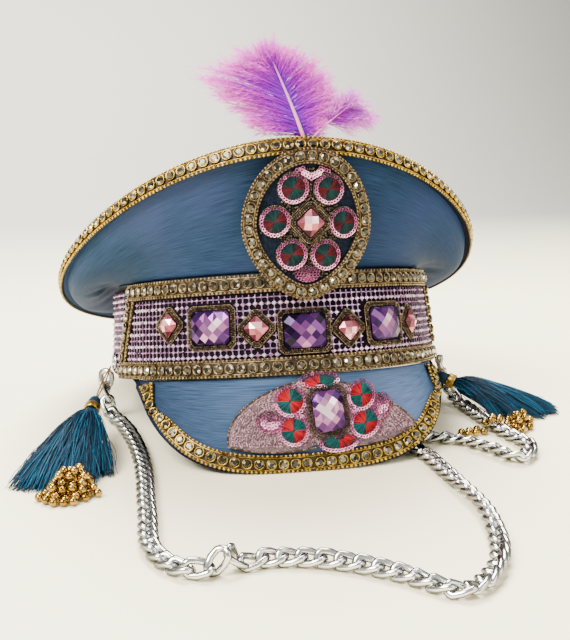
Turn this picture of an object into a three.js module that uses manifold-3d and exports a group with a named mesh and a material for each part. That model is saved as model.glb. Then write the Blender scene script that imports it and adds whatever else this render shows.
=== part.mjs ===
// Decorated captain hat: a soft crown on a stiff crystal band, with a steep peak, a front badge,
// a silver chain, two tassels and feathers. It stands on a table, leaning back on the rim of its band.
// Millimetres. Hat pieces are built round the band's axis: -Y is the front, +Z runs up the axis.
import * as THREE from 'three';
import Module from 'manifold-3d';
import { LoftGeometry } from 'three/addons/geometries/LoftGeometry.js';
import { mergeVertices } from 'three/addons/utils/BufferGeometryUtils.js';

const wasm = await Module();
wasm.setup();

// Stance on the table.
const TILT = THREE.MathUtils.degToRad(13);
const ROLL = THREE.MathUtils.degToRad(1);
const RIM_FLAT = 0.8;
const GAP = 0.35;
const ROUND = 48;

// Band: an oval wall for a head of about 57 cm, covered with crystal net.
const BAND = { halfX: 83.5, halfY: 98.5, wall: 2, height: 48.2, taper: 0.04, net: 1.5 };
const NET = { low: 1.5, high: 45.6 };
const TRIM = { width: 8.4, thick: 2.2 };
// The front panel's ends lean, so its upper edge is shorter than its lower one.
const PANEL_END = { low: THREE.MathUtils.degToRad(72.5), high: THREE.MathUtils.degToRad(64.5) };

// Crown edge: an oval that stands high at the front and sinks at the back.
const EDGE = {
  halfX: 110, halfY: 113, forward: 1.2, level: 60.5, lean: 36.8, saddle: 7.5, crest: 0.7,
};
const CLOTH = 2;
const TOP_DOME = 4;

// Crown wall sections: how the cloth leaves the band and how it hangs below the edge.
const WALL_SECTIONS = [
  { deg: 0, lowOut: 5, lowUp: 20, highOut: -5, highDown: 20 },
  { deg: 45, lowOut: 7, lowUp: 16, highOut: -4, highDown: 20 },
  { deg: 80, lowOut: 9, lowUp: 7, highOut: 1, highDown: 22 },
  { deg: 110, lowOut: 8, lowUp: 3, highOut: 3, highDown: 15 },
  { deg: 145, lowOut: 4.5, lowUp: -2, highOut: -1, highDown: 1 },
  { deg: 180, lowOut: 4, lowUp: -3.5, highOut: -3, highDown: -1 },
];

// Folds where the slack cloth dents inwards.
const FOLDS = [
  { deg: -98, spread: 11, depth: 4.5, at: 0.55 },
  { deg: -124, spread: 12, depth: 3, at: 0.55 },
  { deg: 96, spread: 12, depth: 3, at: 0.5 },
  { deg: 122, spread: 12, depth: 2.5, at: 0.55 },
];

// Where the top rests on the band's back and hangs over it, and how the seam spreads there.
const DRAPE = 60;
const SEAM = { seat: 0.8, backSeat: 3.8, out: 0.9, backOut: 1.7 };

// Peak: its edge is a superellipse in plan and in drop, and it rises a little at the middle.
const PEAK = {
  halfX: 75.6, rootY: -39, reach: 62.5, square: 3.7, drop: 53.2, dropSquare: 2.2, rise: 7.6,
};
const PEAK_ROOT = THREE.MathUtils.degToRad(66);
const PEAK_WALL = 2;
const PEAK_BULGE = 1.5;
const PEAK_SLOPE = 46;
const PEAK_SEAT = 0.5;
// Past the peak's corners its strip runs up the sides and ends slantwise under the band.
const TRIM_END = { outer: { t: 0.965, v: 0.78 }, inner: { t: 0.87, v: 0.96 }, lift: 0.8 };

// Stones along the band, by arc from the front and level above the rim.
const PURPLE = { width: 20, height: 16, thick: 4.2, cut: 2.5, turn: 0 };
const PINK = { width: 9, height: 9, thick: 4, cut: 1.4, turn: Math.PI / 4 };
const BORDER = { width: 2.2, thick: 1.9, gap: 0.4 };
const BAND_STONES = [
  { name: 'pink_1', arc: -70.6, level: 25.8, cut: PINK },
  { name: 'purple_1', arc: -45.4, level: 23.6, cut: PURPLE },
  { name: 'pink_2', arc: -22.8, level: 22.2, cut: PINK },
  { name: 'purple_2', arc: -0.1, level: 20, cut: PURPLE },
  { name: 'pink_3', arc: 22.2, level: 20.1, cut: PINK },
  { name: 'purple_3', arc: 44.5, level: 21.1, cut: PURPLE },
  { name: 'pink_4', arc: 66.8, level: 21, cut: PINK },
];

// Badge on the crown's front.
const BADGE = { halfWidth: 30.5, halfHeight: 34.2, centre: 69, aside: 2.4, turn: 0.05, thick: 1.4, trim: 7 };
const BADGE_SHEET = { lowY: -103.4, highY: -118.9, curve: 88 };
const BADGE_MIDDLE = { across: 0.6, up: 1 };
const BADGE_STONE = { width: 9.8, height: 9.8, thick: 4, cut: 1.4, turn: Math.PI / 4 };
const FLORET = { radius: 6.7, thick: 1.3, sides: 10 };
const FLORETS = [
  { name: 'floret_1', across: -8.2, up: 15.2 },
  { name: 'floret_2', across: 8.2, up: 15.2 },
  { name: 'floret_3', across: -15.9, up: 0.3 },
  { name: 'floret_4', across: 15.9, up: 0.3 },
  { name: 'floret_5', across: -7.8, up: -14.6 },
  { name: 'floret_6', across: 7.8, up: -14.6 },
];

// Motif on the peak: two bullion wings, a tall stone and petals round it.
const WING = { low: 0.7, thick: 1.1, inner: 1.2, middle: 18, foot: -16 };
const WINGS = [
  { name: 'peak_wing_left', side: -1, reach: 45.2, rise: 31.5, power: 2 },
  { name: 'peak_wing_right', side: 1, reach: 43.8, rise: 30, power: 1.45 },
];
const PEAK_MOTIF = { across: 7.5, up: 28.5 };
const PEAK_STONE = { width: 14.5, height: 19, thick: 4.4, cut: 2.5, turn: 0.09 };
const PETALS = [
  { name: 'peak_petal_1', across: -3, up: 14.6, wide: 7.5, tall: 2 },
  { name: 'peak_petal_2', across: -16.4, up: 5.6, wide: 5.2, tall: 5.6 },
  { name: 'peak_petal_3', across: 15.8, up: 5.8, wide: 5, tall: 5.6 },
  { name: 'peak_petal_4', across: -15.8, up: -8, wide: 5.2, tall: 5.6 },
  { name: 'peak_petal_5', across: 17.2, up: -7.4, wide: 5.6, tall: 5.6 },
  { name: 'peak_petal_6', across: 4.6, up: -15.4, wide: 7.4, tall: 2.4 },
];

// Chain: a flat tube along the strap's route on the table, from one side ring to the other.
const CHAIN = { halfWide: 3.7, halfHigh: 2.1, sides: 8, steps: 66 };
const CHAIN_ROUTE = [
  { x: -92, y: -12.9, z: 25.5 },
  { x: -92.1, y: -12.2, z: 14 },
  { x: -91, y: -14, z: 4.6 },
  { x: -85, y: -32, z: 2.75 },
  { x: -80, y: -62, z: 2.75 },
  { x: -78, y: -100, z: 2.75 },
  { x: -79.5, y: -150, z: 2.75 },
  { x: -79, y: -190, z: 2.75 },
  { x: -66, y: -209, z: 2.75 },
  { x: -36, y: -204, z: 2.75 },
  { x: -10, y: -212, z: 2.75 },
  { x: 9, y: -225, z: 2.75 },
  { x: 28, y: -241, z: 2.75 },
  { x: 47, y: -223, z: 2.75 },
  { x: 60, y: -178, z: 2.75 },
  { x: 59, y: -136, z: 2.75 },
  { x: 57, y: -108, z: 2.75 },
  { x: 55, y: -92, z: 2.75 },
  { x: 62, y: -81, z: 2.75 },
  { x: 77, y: -86, z: 2.75 },
  { x: 90, y: -103, z: 2.75 },
  { x: 99, y: -118, z: 2.75 },
  { x: 110, y: -104, z: 2.75 },
  { x: 105, y: -72, z: 2.75 },
  { x: 102, y: -38, z: 2.75 },
  { x: 100, y: -19, z: 5 },
  { x: 95.6, y: -14.6, z: 15 },
  { x: 93.5, y: -14, z: 24 },
];
const CHAIN_RING = { deg: 82, level: 8, radius: 4.2, wire: 0.9 };

// Tassels: locks of silk spread from a bound head, with gold beads among their ends.
const TASSEL = { headRadius: 3.2, lockWide: 6.4, lockHigh: 2.2, swell: 3.6, sides: 6, steps: 5 };
const COLLAR = { inner: 3.3, outer: 4.1, length: 4.4 };
const TASSEL_LEFT = {
  name: 'tassel_left',
  hang: { x: -89.5, y: -15.6, z: 30 },
  head: { x: -99, y: -47, z: 20 },
  tips: [
    { x: -132, y: -106, bow: 5 },
    { x: -123, y: -110, bow: 8 },
    { x: -114, y: -110, bow: 9 },
    { x: -105, y: -105, bow: 8 },
    { x: -98, y: -98, bow: 5 },
  ],
  beads: { x: -113, y: -120.4, wide: 16, deep: 8, high: 7, turn: 0.1 },
};
const TASSEL_RIGHT = {
  name: 'tassel_right',
  hang: { x: 89.3, y: -15.4, z: 32 },
  head: { x: 91.5, y: -25, z: 17 },
  tips: [
    { x: 147, y: -46, bow: 4 },
    { x: 138, y: -52, bow: 6 },
    { x: 128, y: -54, bow: 7 },
    { x: 117, y: -50, bow: 6 },
  ],
  beads: { x: 123.4, y: -65.8, wide: 13, deep: 7, high: 7.5, turn: 0.2 },
};

// Feathers stand in an upright plane behind the crown's front edge.
const BARB = { thick: 1.4, root: 5 };
const QUILL_RADIUS = 1.1;
const FEATHER_LARGE = {
  name: 'feather_large',
  depth: -83.2,
  quill: [{ x: 0.5, z: 152.6 }, { x: -5, z: 168 }, { x: -14, z: 187 }],
  barbs: [
    { at: 0.15, x: -22, z: 161, wide: 10 },
    { at: 0.32, x: -36, z: 171, wide: 13 },
    { at: 0.5, x: -50, z: 182, wide: 14 },
    { at: 0.72, x: -35, z: 189, wide: 14 },
    { at: 0.93, x: -16, z: 194.5, wide: 14 },
    { at: 0.72, x: 4, z: 189, wide: 14 },
    { at: 0.46, x: 15, z: 178, wide: 14 },
    { at: 0.22, x: 15, z: 166, wide: 11 },
  ],
};
const FEATHER_SMALL = {
  name: 'feather_small',
  depth: -85.2,
  quill: [{ x: 4.6, z: 153.3 }, { x: 11, z: 160 }, { x: 21, z: 167 }],
  barbs: [
    { at: 0.6, x: 15, z: 170, wide: 7 },
    { at: 0.95, x: 26, z: 171.5, wide: 8 },
    { at: 0.85, x: 36, z: 161, wide: 8 },
    { at: 0.45, x: 24, z: 156.5, wide: 6 },
  ],
};

// Finishes.
const FINISH = {
  blueSatin: { color: 0x43658a, roughness: 0.55, metalness: 0 },
  peakSatin: { color: 0x6f8fb8, roughness: 0.55, metalness: 0 },
  buckram: { color: 0x2c2f3d, roughness: 0.9, metalness: 0 },
  net: { color: 0x9a6f8c, roughness: 0.4, metalness: 0.2 },
  gold: { color: 0xb08a45, roughness: 0.35, metalness: 0.9 },
  bronze: { color: 0x5a4032, roughness: 0.45, metalness: 0.7 },
  pinkStone: { color: 0xe2a2b4, roughness: 0.08, metalness: 0 },
  purpleStone: { color: 0x9a78c8, roughness: 0.08, metalness: 0 },
  navy: { color: 0x1c2440, roughness: 0.8, metalness: 0 },
  embroidery: { color: 0x3a2b33, roughness: 0.8, metalness: 0 },
  sequin: { color: 0xd48fb4, roughness: 0.25, metalness: 0.3 },
  bullion: { color: 0xb08d98, roughness: 0.5, metalness: 0.3 },
  silver: { color: 0xd0d2d4, roughness: 0.2, metalness: 1 },
  teal: { color: 0x0f5068, roughness: 0.6, metalness: 0 },
  goldBead: { color: 0xc39a4f, roughness: 0.2, metalness: 1 },
  purplePlume: { color: 0x9448c8, roughness: 0.8, metalness: 0 },
  pinkPlume: { color: 0xd77ad0, roughness: 0.8, metalness: 0 },
};

const { degToRad, lerp } = THREE.MathUtils;
const vec = (x, y, z) => new THREE.Vector3(x, y, z);

// One closed surface with shared vertices, no collapsed triangles and faces that point outwards.
function closed(geometry) {
  const bare = new THREE.BufferGeometry();
  bare.setAttribute('position', geometry.getAttribute('position'));
  bare.setIndex(geometry.index);
  const merged = mergeVertices(bare, 1e-3);
  const points = merged.getAttribute('position');
  const corners = merged.index.array;
  const kept = [];
  let volume = 0;
  for (let i = 0; i < corners.length; i += 3) {
    const [a, b, c] = [corners[i], corners[i + 1], corners[i + 2]];
    if (a === b || b === c || c === a) continue;
    kept.push([a, b, c]);
    const [pa, pb, pc] = [a, b, c].map((k) => vec().fromBufferAttribute(points, k));
    volume += pa.dot(pb.cross(pc));
  }
  merged.setIndex(kept.flatMap(([a, b, c]) => (volume < 0 ? [a, c, b] : [a, b, c])));
  return merged;
}

// Joins closed surfaces into one body.
function fused(geometries) {
  const solids = geometries.map((geometry) => {
    const shape = closed(geometry);
    const vertProperties = shape.getAttribute('position').array;
    const triVerts = new Uint32Array(shape.index.array);
    return new wasm.Manifold(new wasm.Mesh({ numProp: 3, vertProperties, triVerts }));
  });
  const mesh = solids.reduce((whole, solid) => whole.add(solid)).getMesh();
  const joined = new THREE.BufferGeometry();
  joined.setAttribute('position', new THREE.BufferAttribute(mesh.vertProperties, 3));
  joined.setIndex(new THREE.BufferAttribute(mesh.triVerts, 1));
  return joined;
}

// Unit normal of a surface given by two parameters, and a point raised from it.
function normalAt(surface, u, v) {
  const d = 1e-3;
  const along = surface(u + d, v).sub(surface(u - d, v));
  const across = surface(u, v + d).sub(surface(u, v - d));
  return along.cross(across).normalize();
}
const raised = (surface, u, v, h) => surface(u, v).addScaledVector(normalAt(surface, u, v), h);

// Heights above the table for points of the tilted hat, and the flattening of what would sink into it.
const stance = new THREE.Matrix4().makeRotationFromEuler(new THREE.Euler(-TILT, -ROLL, 0, 'YXZ'));
const oval = (halfX, halfY, p, z) => vec(halfX * Math.sin(p), -halfY * Math.cos(p), z);
const turn = (i, count) => (i / count) * 2 * Math.PI;
const rimHeights = Array.from({ length: ROUND }, (_, i) =>
  oval(BAND.halfX + BAND.wall, BAND.halfY + BAND.wall, turn(i, ROUND), 0).applyMatrix4(stance).z);
const LIFT = -Math.min(...rimHeights) - RIM_FLAT;
function onTable(point) {
  const height = point.clone().applyMatrix4(stance).z + LIFT;
  if (height < 0) point.z -= height / (Math.cos(TILT) * Math.cos(ROLL));
  return point;
}

// Band surface: p runs round the hat from the front, z up the wall, out from its inner face.
function bandPoint(p, z, out) {
  const scale = 1 - (BAND.taper * z) / 50;
  return oval(BAND.halfX * scale + out, BAND.halfY * scale + out, p, z);
}
const netFace = BAND.wall + GAP + BAND.net;
const bandFace = (p, z) => bandPoint(p, z, netFace);
function angleAtArc(arc) {
  const step = 0.001;
  let [p, left] = [0, Math.abs(arc)];
  for (;;) {
    const pace = Math.hypot((BAND.halfX + netFace) * Math.cos(p), (BAND.halfY + netFace) * Math.sin(p));
    if (left <= step * pace) return Math.sign(arc) * (p + left / pace);
    left -= step * pace;
    p += step;
  }
}
const arcChart = (arc, z) => bandFace(angleAtArc(arc), z);

// Crown edge, and the cloth wall between the band's top (v = 0) and that edge (v = 1).
function edgePoint(p) {
  const { halfX, halfY, forward, level, lean, saddle, crest } = EDGE;
  const z = level + lean * Math.cos(p) + saddle * Math.cos(2 * p) + crest * Math.cos(3 * p);
  return oval(halfX, halfY, p, z).add(vec(0, -forward, 0));
}
const backness = (p) => (0.5 - 0.5 * Math.cos(p)) ** 2;
const foldedAngle = (p) => Math.abs(Math.atan2(Math.sin(p), Math.cos(p)));
function wallSection(p) {
  const deg = THREE.MathUtils.radToDeg(foldedAngle(p));
  const next = Math.max(1, WALL_SECTIONS.findIndex((row) => row.deg >= deg - 1e-6));
  const [a, b] = [WALL_SECTIONS[next - 1], WALL_SECTIONS[next]];
  const share = THREE.MathUtils.smoothstep(deg, a.deg, b.deg);
  return (column) => lerp(a[column], b[column], share);
}
function foldDepth(p, v) {
  return FOLDS.reduce((sum, fold) => {
    const away = foldedAngle(p - degToRad(fold.deg)) / degToRad(fold.spread);
    const along = (v - fold.at) / 0.3;
    return sum + fold.depth * Math.exp(-away * away - along * along);
  }, 0);
}
function wallPoint(p, v) {
  const section = wallSection(p);
  const radial = vec(Math.sin(p), -Math.cos(p), 0);
  const foot = bandPoint(p, BAND.height + GAP, BAND.wall);
  const head = edgePoint(p);
  const low = foot.clone().addScaledVector(radial, section('lowOut'));
  low.z += section('lowUp');
  const high = head.clone().addScaledVector(radial, section('highOut'));
  high.z -= section('highDown');
  const point = new THREE.CubicBezierCurve3(foot, low, high, head).getPoint(v);
  return point.addScaledVector(radial, -foldDepth(p, v));
}

// Peak surface: t runs across from -1 to 1, v up from the edge (0) to the band (1).
const superArc = (t, power) => Math.max(0, 1 - Math.abs(t) ** power) ** (1 / power);
function peakEdge(t) {
  const { halfX, rootY, reach, square, drop, dropSquare, rise } = PEAK;
  const z = -0.6 - drop * superArc(t, dropSquare) + rise * (1 - t * t) ** 2;
  return vec(halfX * t, rootY - reach * superArc(t, square), z);
}
function peakPoint(t, v) {
  const held = THREE.MathUtils.clamp(t, -1, 1);
  const p = Math.asin(held * Math.sin(PEAK_ROOT));
  const root = bandPoint(p, 0, netFace - 0.6).setZ(-GAP - 0.3);
  const bulge = PEAK_BULGE * 4 * v * (1 - v) * (1 - held * held);
  return peakEdge(held).lerp(root, v).add(vec(Math.sin(p), -Math.cos(p), 0).multiplyScalar(bulge));
}
// Place on the peak nearest to a point, by repeated projection on its tangent plane.
function nearestOnPeak(target, firstT, firstV) {
  let [t, v] = [firstT, firstV];
  for (let i = 0; i < 12; i += 1) {
    const at = peakPoint(t, v);
    const across = peakPoint(t + 1e-4, v).sub(at).divideScalar(1e-4);
    const up = peakPoint(t, v + 1e-4).sub(at).divideScalar(1e-4);
    const miss = target.clone().sub(at);
    const skew = across.dot(up);
    const area = across.lengthSq() * up.lengthSq() - skew * skew;
    t += (miss.dot(across) * up.lengthSq() - miss.dot(up) * skew) / area;
    v += (miss.dot(up) * across.lengthSq() - miss.dot(across) * skew) / area;
    t = THREE.MathUtils.clamp(t, -0.99, 0.99);
    v = THREE.MathUtils.clamp(v, 0, 1);
  }
  return [t, v];
}

// Place at a distance in from the peak's edge, along its surface.
function besidePeakEdge(t, inset) {
  const along = peakEdge(Math.min(1, t + 2e-3)).sub(peakEdge(Math.max(-1, t - 2e-3))).normalize();
  const inward = normalAt(peakPoint, t, 0.12).cross(along).normalize();
  const target = peakEdge(t).addScaledVector(inward, inset);
  return nearestOnPeak(target, t * 0.95, 0.1);
}
function peakAcross(angle) {
  const s = Math.sin(angle);
  return Math.sign(s) * Math.abs(s) ** (2 / PEAK.square);
}
const peakChart = (across, up) => peakPoint(across / PEAK.halfX, up / PEAK_SLOPE);

// Badge surface: a sheet that leans with the crown's front and curves round it.
function badgeChart(across, up) {
  const { lowY, highY, curve } = BADGE_SHEET;
  const [s, c] = [Math.sin(BADGE.turn), Math.cos(BADGE.turn)];
  const rise = up * c - across * s;
  const share = (rise + BADGE.halfHeight) / (2 * BADGE.halfHeight);
  const swing = (BADGE.aside + across * c + up * s) / curve;
  const y = lerp(lowY, highY, share) + curve * (1 - Math.cos(swing));
  return vec(curve * Math.sin(swing), y, BADGE.centre + rise);
}
const shifted = (chart, across, up) => (a, b) => chart(a + across, b + up);

// Plate on a surface: an outline about its centre, between two heights.
function plate(chart, outline, low, high, shares = [0.55]) {
  const steps = [0, ...shares, 1];
  const under = steps.map((scale) => [scale, low]);
  const over = steps.toReversed().map((scale) => [scale, high]);
  const sections = [...under, ...over].map(([scale, h]) =>
    outline.map(([a, b]) => raised(chart, a * scale, b * scale, h)));
  return closed(new LoftGeometry(sections));
}

// Strip along a line on a surface, with a rounded back. Its rows give a place and the way across it.
function strip(chart, rows, width, low, thick, loop) {
  const profile = [[-0.5, 0], [0.5, 0], [0.5, 0.6], [0, 1], [-0.5, 0.6]];
  const sections = rows.map(({ a, b, da, db }) =>
    profile.map(([across, up]) =>
      raised(chart, a + da * across * width, b + db * across * width, low + up * thick)));
  if (loop) sections.push(sections[0]);
  return closed(new LoftGeometry(sections, { capStart: !loop, capEnd: !loop }));
}

// Loop of strip rows round an outline, with the way across pointing out.
function loopRows(outline) {
  return outline.map(([a, b], i) => {
    const before = outline[(i + outline.length - 1) % outline.length];
    const after = outline[(i + 1) % outline.length];
    const inward = new THREE.Vector2(a - before[0], b - before[1]).normalize();
    const onward = new THREE.Vector2(after[0] - a, after[1] - b).normalize();
    const mitre = inward.clone().add(onward).normalize();
    const stretch = 1 / Math.max(0.5, mitre.dot(onward));
    return { a, b, da: mitre.y * stretch, db: -mitre.x * stretch };
  });
}

// Outline of a stone with cut corners, grown by a margin and turned.
function stoneOutline({ width, height, cut, turn: angle }, margin) {
  const [w, h, c] = [width / 2 + margin, height / 2 + margin, cut + margin * 0.3];
  const corners = [
    [w - c, -h], [w, -h + c], [w, h - c], [w - c, h],
    [-w + c, h], [-w, h - c], [-w, -h + c], [-w + c, -h],
  ];
  return corners.map(([a, b]) => [
    a * Math.cos(angle) - b * Math.sin(angle),
    a * Math.sin(angle) + b * Math.cos(angle),
  ]);
}

// Flat seat that touches a surface at a point.
function seat(chart) {
  const [origin, normal] = [chart(0, 0), normalAt(chart, 0, 0)];
  const right = chart(1, 0).sub(chart(-1, 0)).projectOnPlane(normal).normalize();
  const up = normal.clone().cross(right);
  return (a, b) => origin.clone().addScaledVector(right, a).addScaledVector(up, b);
}

// Cut stone with a flat back, a girdle, a band of facets and a table.
function stoneAt(chart, cut) {
  const levels = [[-0.3, 0], [0, 0.4], [-cut.height * 0.17, 1]];
  const sections = levels.map(([margin, share]) =>
    stoneOutline(cut, margin).map(([a, b]) => raised(seat(chart), a, b, GAP + share * cut.thick)));
  return closed(new LoftGeometry(sections, { capStart: true, capEnd: true }));
}

// Beaded border round a stone.
function borderAt(chart, cut) {
  const line = stoneOutline(cut, BORDER.gap + BORDER.width / 2);
  return strip(seat(chart), loopRows(line), BORDER.width, GAP, BORDER.thick, true);
}

const superellipse = (count, halfA, halfB, powerUp, powerDown) =>
  Array.from({ length: count }, (_, i) => {
    const [s, c] = [Math.sin(turn(i, count)), Math.cos(turn(i, count))];
    const power = c < 0 ? powerDown : powerUp;
    const swell = (Math.abs(s) ** power + Math.abs(c) ** power) ** (-1 / power);
    return [-halfA * s * swell, halfB * c * swell];
  });

// Meshes by name.
const hat = new THREE.Group();
hat.rotation.set(-TILT, -ROLL, 0, 'YXZ');
hat.position.z = LIFT;
const table = new THREE.Group();
function piece(group, name, geometry, finish) {
  const mesh = new THREE.Mesh(geometry, new THREE.MeshStandardMaterial(finish));
  mesh.name = name;
  group.add(mesh);
}

// Ring-shaped wall: one cross section for each step round the hat.
function roundWall(count, section) {
  const sections = Array.from({ length: count }, (_, i) => section(turn(i, count)));
  sections.push(sections[0]);
  return closed(new LoftGeometry(sections));
}

// Band and its net.
piece(hat, 'band', roundWall(ROUND, (p) => [
  onTable(bandPoint(p, 0, 0)),
  onTable(bandPoint(p, 0, BAND.wall)),
  bandPoint(p, BAND.height, BAND.wall),
  bandPoint(p, BAND.height, 0),
]), FINISH.buckram);
function netLow(p) {
  return NET.low + 1.5 * THREE.MathUtils.smoothstep(foldedAngle(p), degToRad(120), degToRad(150));
}
piece(hat, 'band_mesh', roundWall(ROUND, (p) => [
  bandPoint(p, netLow(p), BAND.wall + GAP),
  bandPoint(p, netLow(p), netFace),
  bandPoint(p, NET.high, netFace),
  bandPoint(p, NET.high, BAND.wall + GAP),
]), FINISH.net);

// Rhinestone frame of the band's front panel.
const frameLow = TRIM.width / 2 - 0.2;
const frameHigh = BAND.height - TRIM.width / 2 - 0.6;
const frameSteps = 22;
const frameAcross = Array.from({ length: frameSteps + 1 }, (_, i) => lerp(-1, 1, i / frameSteps));
const frameSide = [0.25, 0.5, 0.75].map((share) =>
  [lerp(PANEL_END.low, PANEL_END.high, share), lerp(frameLow, frameHigh, share)]);
const frameOutline = [
  ...frameAcross.map((share) => [share * PANEL_END.low, frameLow]),
  ...frameSide,
  ...frameAcross.map((share) => [-share * PANEL_END.high, frameHigh]),
  ...frameSide.toReversed().map(([p, z]) => [-p, z]),
];
const girth = (BAND.halfX + BAND.halfY) / 2;
const frameRows = loopRows(frameOutline.map(([p, z]) => [p * girth, z]))
  .map(({ a, b, da, db }) => ({ a: a / girth, b, da: da / girth, db }));
piece(hat, 'band_frame', strip(bandFace, frameRows, TRIM.width, GAP, TRIM.thick, true), FINISH.gold);

// Stones of the band, each in a beaded border.
for (const { name, arc, level, cut } of BAND_STONES) {
  const chart = shifted(arcChart, arc, level);
  piece(hat, `gem_${name}`, stoneAt(chart, cut), cut === PINK ? FINISH.pinkStone : FINISH.purpleStone);
  piece(hat, `border_${name}`, borderAt(chart, cut), FINISH.bronze);
}

// Crown wall and top.
const wallRows = [0, 0.16, 0.34, 0.52, 0.7, 0.86, 1];
piece(hat, 'crown_side', roundWall(ROUND, (p) => [
  ...wallRows.map((v) => wallPoint(p, v)),
  ...wallRows.toReversed().map((v) => raised(wallPoint, p, v, -CLOTH)),
]), FINISH.blueSatin);
function topPoint(p, share, h) {
  const { forward, level, lean, saddle, crest } = EDGE;
  const z = level + lean * share * Math.cos(p) + saddle * share ** 2 * Math.cos(2 * p)
    + crest * share ** 3 * Math.cos(3 * p) + TOP_DOME * (1 - share * share)
    + DRAPE * share ** 4 * (1 - share ** 6) * backness(p) + SEAM.seat + SEAM.backSeat * backness(p);
  const point = oval((EDGE.halfX - 1.6) * share, (EDGE.halfY - 1.6) * share, p, z + h);
  return point.add(vec(0, -forward, 0));
}
const topShares = [0, 0.5, 0.8, 0.93, 1];
const topUnder = topShares.map((share) => [share, 0]);
const topOver = topShares.toReversed().map((share) => [share, CLOTH]);
const topSections = [...topUnder, ...topOver].map(([share, h]) =>
  Array.from({ length: ROUND }, (_, i) => topPoint(turn(i, ROUND), share, h)));
piece(hat, 'crown_top', closed(new LoftGeometry(topSections)), FINISH.blueSatin);

// Rhinestone strip on the crown's edge, leaning up a little.
const EDGE_LEAN = degToRad(16);
const edgeProfile = [[-5.4, 0], [2.9, 0], [2.9, 1.4], [-1.2, 2.2], [-5.4, 1.4]];
piece(hat, 'crown_edge_trim', roundWall(ROUND, (p) => {
  const radial = vec(Math.sin(p) / EDGE.halfX, -Math.cos(p) / EDGE.halfY, 0).normalize();
  const [s, c] = [Math.sin(EDGE_LEAN), Math.cos(EDGE_LEAN)];
  const clear = SEAM.out + SEAM.backOut * backness(p);
  return edgeProfile.map(([up, out]) => edgePoint(p)
    .addScaledVector(radial, (out + clear) * c - up * s)
    .add(vec(0, 0, up * c + (out + clear) * s)));
}), FINISH.gold);

// Badge.
const badgeOutline = superellipse(28, BADGE.halfWidth, BADGE.halfHeight, 2, 1.65);
piece(hat, 'medallion_base', plate(badgeChart, badgeOutline, 0, BADGE.thick), FINISH.navy);
const badgeTop = (a, b) => raised(badgeChart, a, b, BADGE.thick);
const trimLine = superellipse(28, BADGE.halfWidth - 3.4, BADGE.halfHeight - 3.4, 2, 1.65);
const badgeTrim = strip(badgeTop, loopRows(trimLine), BADGE.trim, GAP, TRIM.thick, true);
piece(hat, 'medallion_trim', badgeTrim, FINISH.gold);
const badgeMiddle = shifted(badgeTop, BADGE_MIDDLE.across, BADGE_MIDDLE.up);
piece(hat, 'medallion_gem', stoneAt(badgeMiddle, BADGE_STONE), FINISH.pinkStone);
piece(hat, 'medallion_gem_border', borderAt(badgeMiddle, BADGE_STONE), FINISH.bronze);
const circle = (count, radius) => superellipse(count, radius, radius, 2, 2);
for (const { name, across, up } of FLORETS) {
  const outline = circle(FLORET.sides, FLORET.radius);
  const disc = plate(shifted(badgeMiddle, across, up), outline, GAP, GAP + FLORET.thick);
  piece(hat, name, disc, FINISH.embroidery);
}
const crest = [[0, -2.4], [6, 1.4], [4.6, 3], [0, 0.6], [-4.6, 3], [-6, 1.4]];
piece(hat, 'medallion_crest', plate(shifted(badgeMiddle, -0.3, 21.4), crest, GAP, GAP + 1), FINISH.sequin);
const foot = superellipse(10, 3.6, 2.8, 2, 1.6);
piece(hat, 'medallion_foot', plate(shifted(badgeMiddle, -0.6, -23.2), foot, GAP, GAP + 1.2), FINISH.sequin);

// Peak: a shell with its edge on the table, and the strip along that edge.
const peakSteps = 30;
const peakLine = Array.from({ length: peakSteps + 1 }, (_, i) =>
  peakAcross(lerp(-Math.PI / 2, Math.PI / 2, i / peakSteps) * 0.985));
const peakRows = [0, 0.25, 0.5, 0.75, 1];
const peakSections = peakLine.map((t) => [
  ...peakRows.map((v) => onTable(raised(peakPoint, t, v, -PEAK_WALL))),
  ...peakRows.toReversed().map((v) => onTable(peakPoint(t, v))),
]);
const capped = { capStart: true, capEnd: true };
piece(hat, 'peak', closed(new LoftGeometry(peakSections, capped)), FINISH.peakSatin);
const trimTop = TRIM.width + 0.6;
const peakTrimProfile = [[0.9, 0], [trimTop, 0], [trimTop, 1.4], [5, TRIM.thick], [0.9, 1.4]];
const peakTrimLine = peakLine.slice(3, -3);
const [trimFirst, trimLast] = [peakTrimLine[0], peakTrimLine.at(-1)];
const trimRows = [
  { t: trimFirst, onward: 1 },
  { t: trimFirst, onward: 0.5 },
  ...peakTrimLine.map((t) => ({ t, onward: 0 })),
  { t: trimLast, onward: 0.5 },
  { t: trimLast, onward: 1 },
];
const peakTrimSections = trimRows.map(({ t, onward }) =>
  peakTrimProfile.map(([inset, out]) => {
    const [fromT, fromV] = besidePeakEdge(t, inset);
    const share = inset / trimTop;
    const endT = Math.sign(t) * lerp(TRIM_END.outer.t, TRIM_END.inner.t, share);
    const endV = lerp(TRIM_END.outer.v, TRIM_END.inner.v, share);
    const seat = PEAK_SEAT + TRIM_END.lift * onward;
    return raised(peakPoint, lerp(fromT, endT, onward), lerp(fromV, endV, onward), seat + out);
  }));
piece(hat, 'peak_trim', closed(new LoftGeometry(peakTrimSections, capped)), FINISH.gold);

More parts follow.
